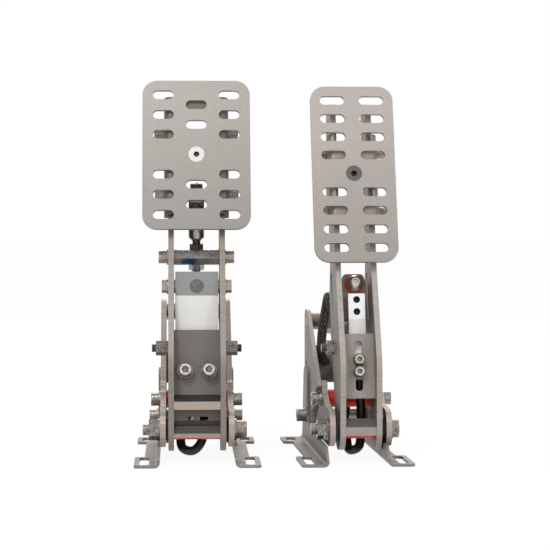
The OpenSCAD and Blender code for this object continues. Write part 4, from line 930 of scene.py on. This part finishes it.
def make_rubbers():
    """Rubber rings with a thin steel disc in each gap."""
    bm = bmesh.new()
    step = (RUBBER_TO - RUBBER_FROM) / RUBBER_COUNT
    outer, inner = RUBBER_D / 2, RUBBER_BORE / 2
    for k in range(RUBBER_COUNT):
        s0 = RUBBER_FROM + k * step
        s1 = s0 + step - DISC_T
        ring = ring_profile(s0, s1, outer - RUBBER_CROWN, inner, RUBBER_CROWN, RUBBER_CORNER)
        turn_profile(bm, ring, 0)
        if k < RUBBER_COUNT - 1:
            front, back = s1 + DISC_PLAY, s1 + DISC_T - DISC_PLAY
            disc = ring_profile(front, back, outer - DISC_INSET, inner, 0, DISC_CORNER)
            turn_profile(bm, disc, 1)
    stack = mesh_object("brake_rubber_stack", bm)
    stack.data.materials.append(MATERIALS["rubber"])
    stack.data.materials.append(MATERIALS["bright"])
    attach(stack, "brake_rod")
    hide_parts("brake_rubbers")
    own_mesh(stack)


make_spring()
make_rubbers()


# Stage and light

# Half the floor's width, and how far it lies under the feet so that the two never share a plane
FLOOR_HALF = 6.0
FLOOR_DROP = 0.2 * MM
# How much of the floor's own glow the camera sees, and how strong it is
FLOOR_GLOW = 0.88
FLOOR_LEVEL = 1.05
# How strongly the white world lights the object
WORLD_ON_OBJECT = 0.55
# Each lamp's place and the point that it shines at, its width, all in metres, and its watts
LAMPS = {
    "key": ((-0.5, -1.0, 1.25), (0, 0, 0.2), 0.35, 9),
    "fill": ((1.1, -1.1, 0.8), (0, 0, 0.15), 0.35, 3.5),
    "back": ((0.1, 1.2, 1.1), (0, 0, 0.12), 0.6, 5),
}


def make_stage():
    """A pale paper floor that is near white to the camera and keeps the object's shadow."""
    mesh = bpy.data.meshes.new("floor")
    corners = [(x * FLOOR_HALF, y * FLOOR_HALF, 0) for x, y in ((-1, -1), (1, -1), (1, 1), (-1, 1))]
    mesh.from_pydata(corners, [], [(0, 1, 2, 3)])
    floor = bpy.data.objects.new("floor", mesh)
    floor.location.z = -FLOOR_DROP
    bpy.context.scene.collection.objects.link(floor)
    s = Shader("floor_paper")
    paths = s.add("ShaderNodeLightPath")
    seen = s.math("MAXIMUM", paths.outputs["Is Camera Ray"], paths.outputs["Is Glossy Ray"])
    seen = s.math("MAXIMUM", seen, paths.outputs["Is Transmission Ray"])
    paper = s.noise(30, 3)
    s.finish(s.mix(paper, rgb(236, 236, 236), rgb(240, 240, 240)), 0.9)
    glow = s.add("ShaderNodeEmission")
    glow.inputs["Strength"].default_value = FLOOR_LEVEL
    both = s.add("ShaderNodeMixShader")
    out = s.tree.nodes["Material Output"]
    s.put(s.math("MULTIPLY", seen, FLOOR_GLOW), both.inputs[0])
    s.tree.links.new(s.bsdf.outputs[0], both.inputs[1])
    s.tree.links.new(glow.outputs[0], both.inputs[2])
    s.tree.links.new(both.outputs[0], out.inputs["Surface"])
    mesh.materials.append(s.material)


def make_world():
    """White behind everything that the camera or a reflection sees, and dimmer on the object."""
    world = bpy.data.worlds.new("studio")
    bpy.context.scene.world = world
    world.use_nodes = True
    tree = world.node_tree
    back = tree.nodes["Background"]
    back.inputs["Color"].default_value = (1, 1, 1, 1)
    paths = tree.nodes.new("ShaderNodeLightPath")
    seen = paths.outputs["Is Camera Ray"]
    for kind in ("Is Transmission Ray", "Is Glossy Ray"):
        most = tree.nodes.new("ShaderNodeMath")
        most.operation = "MAXIMUM"
        tree.links.new(seen, most.inputs[0])
        tree.links.new(paths.outputs[kind], most.inputs[1])
        seen = most.outputs[0]
    level = tree.nodes.new("ShaderNodeMapRange")
    level.inputs["To Min"].default_value = WORLD_ON_OBJECT
    level.inputs["To Max"].default_value = 1.0
    tree.links.new(seen, level.inputs["Value"])
    tree.links.new(level.outputs["Result"], back.inputs["Strength"])


def area_light(name, where, target, size, watts):
    """A square lamp that shines at the target."""
    data = bpy.data.lights.new(name, "AREA")
    data.shape = "SQUARE"
    data.size = size
    data.energy = watts
    lamp = bpy.data.objects.new(name, data)
    bpy.context.scene.collection.objects.link(lamp)
    lamp.location = where
    lamp.rotation_mode = "QUATERNION"
    lamp.rotation_quaternion = (Vector(target) - Vector(where)).to_track_quat("-Z", "Y")


make_stage()
make_world()
for lamp_name, (place, target, size, watts) in LAMPS.items():
    area_light(lamp_name, place, target, size, watts)
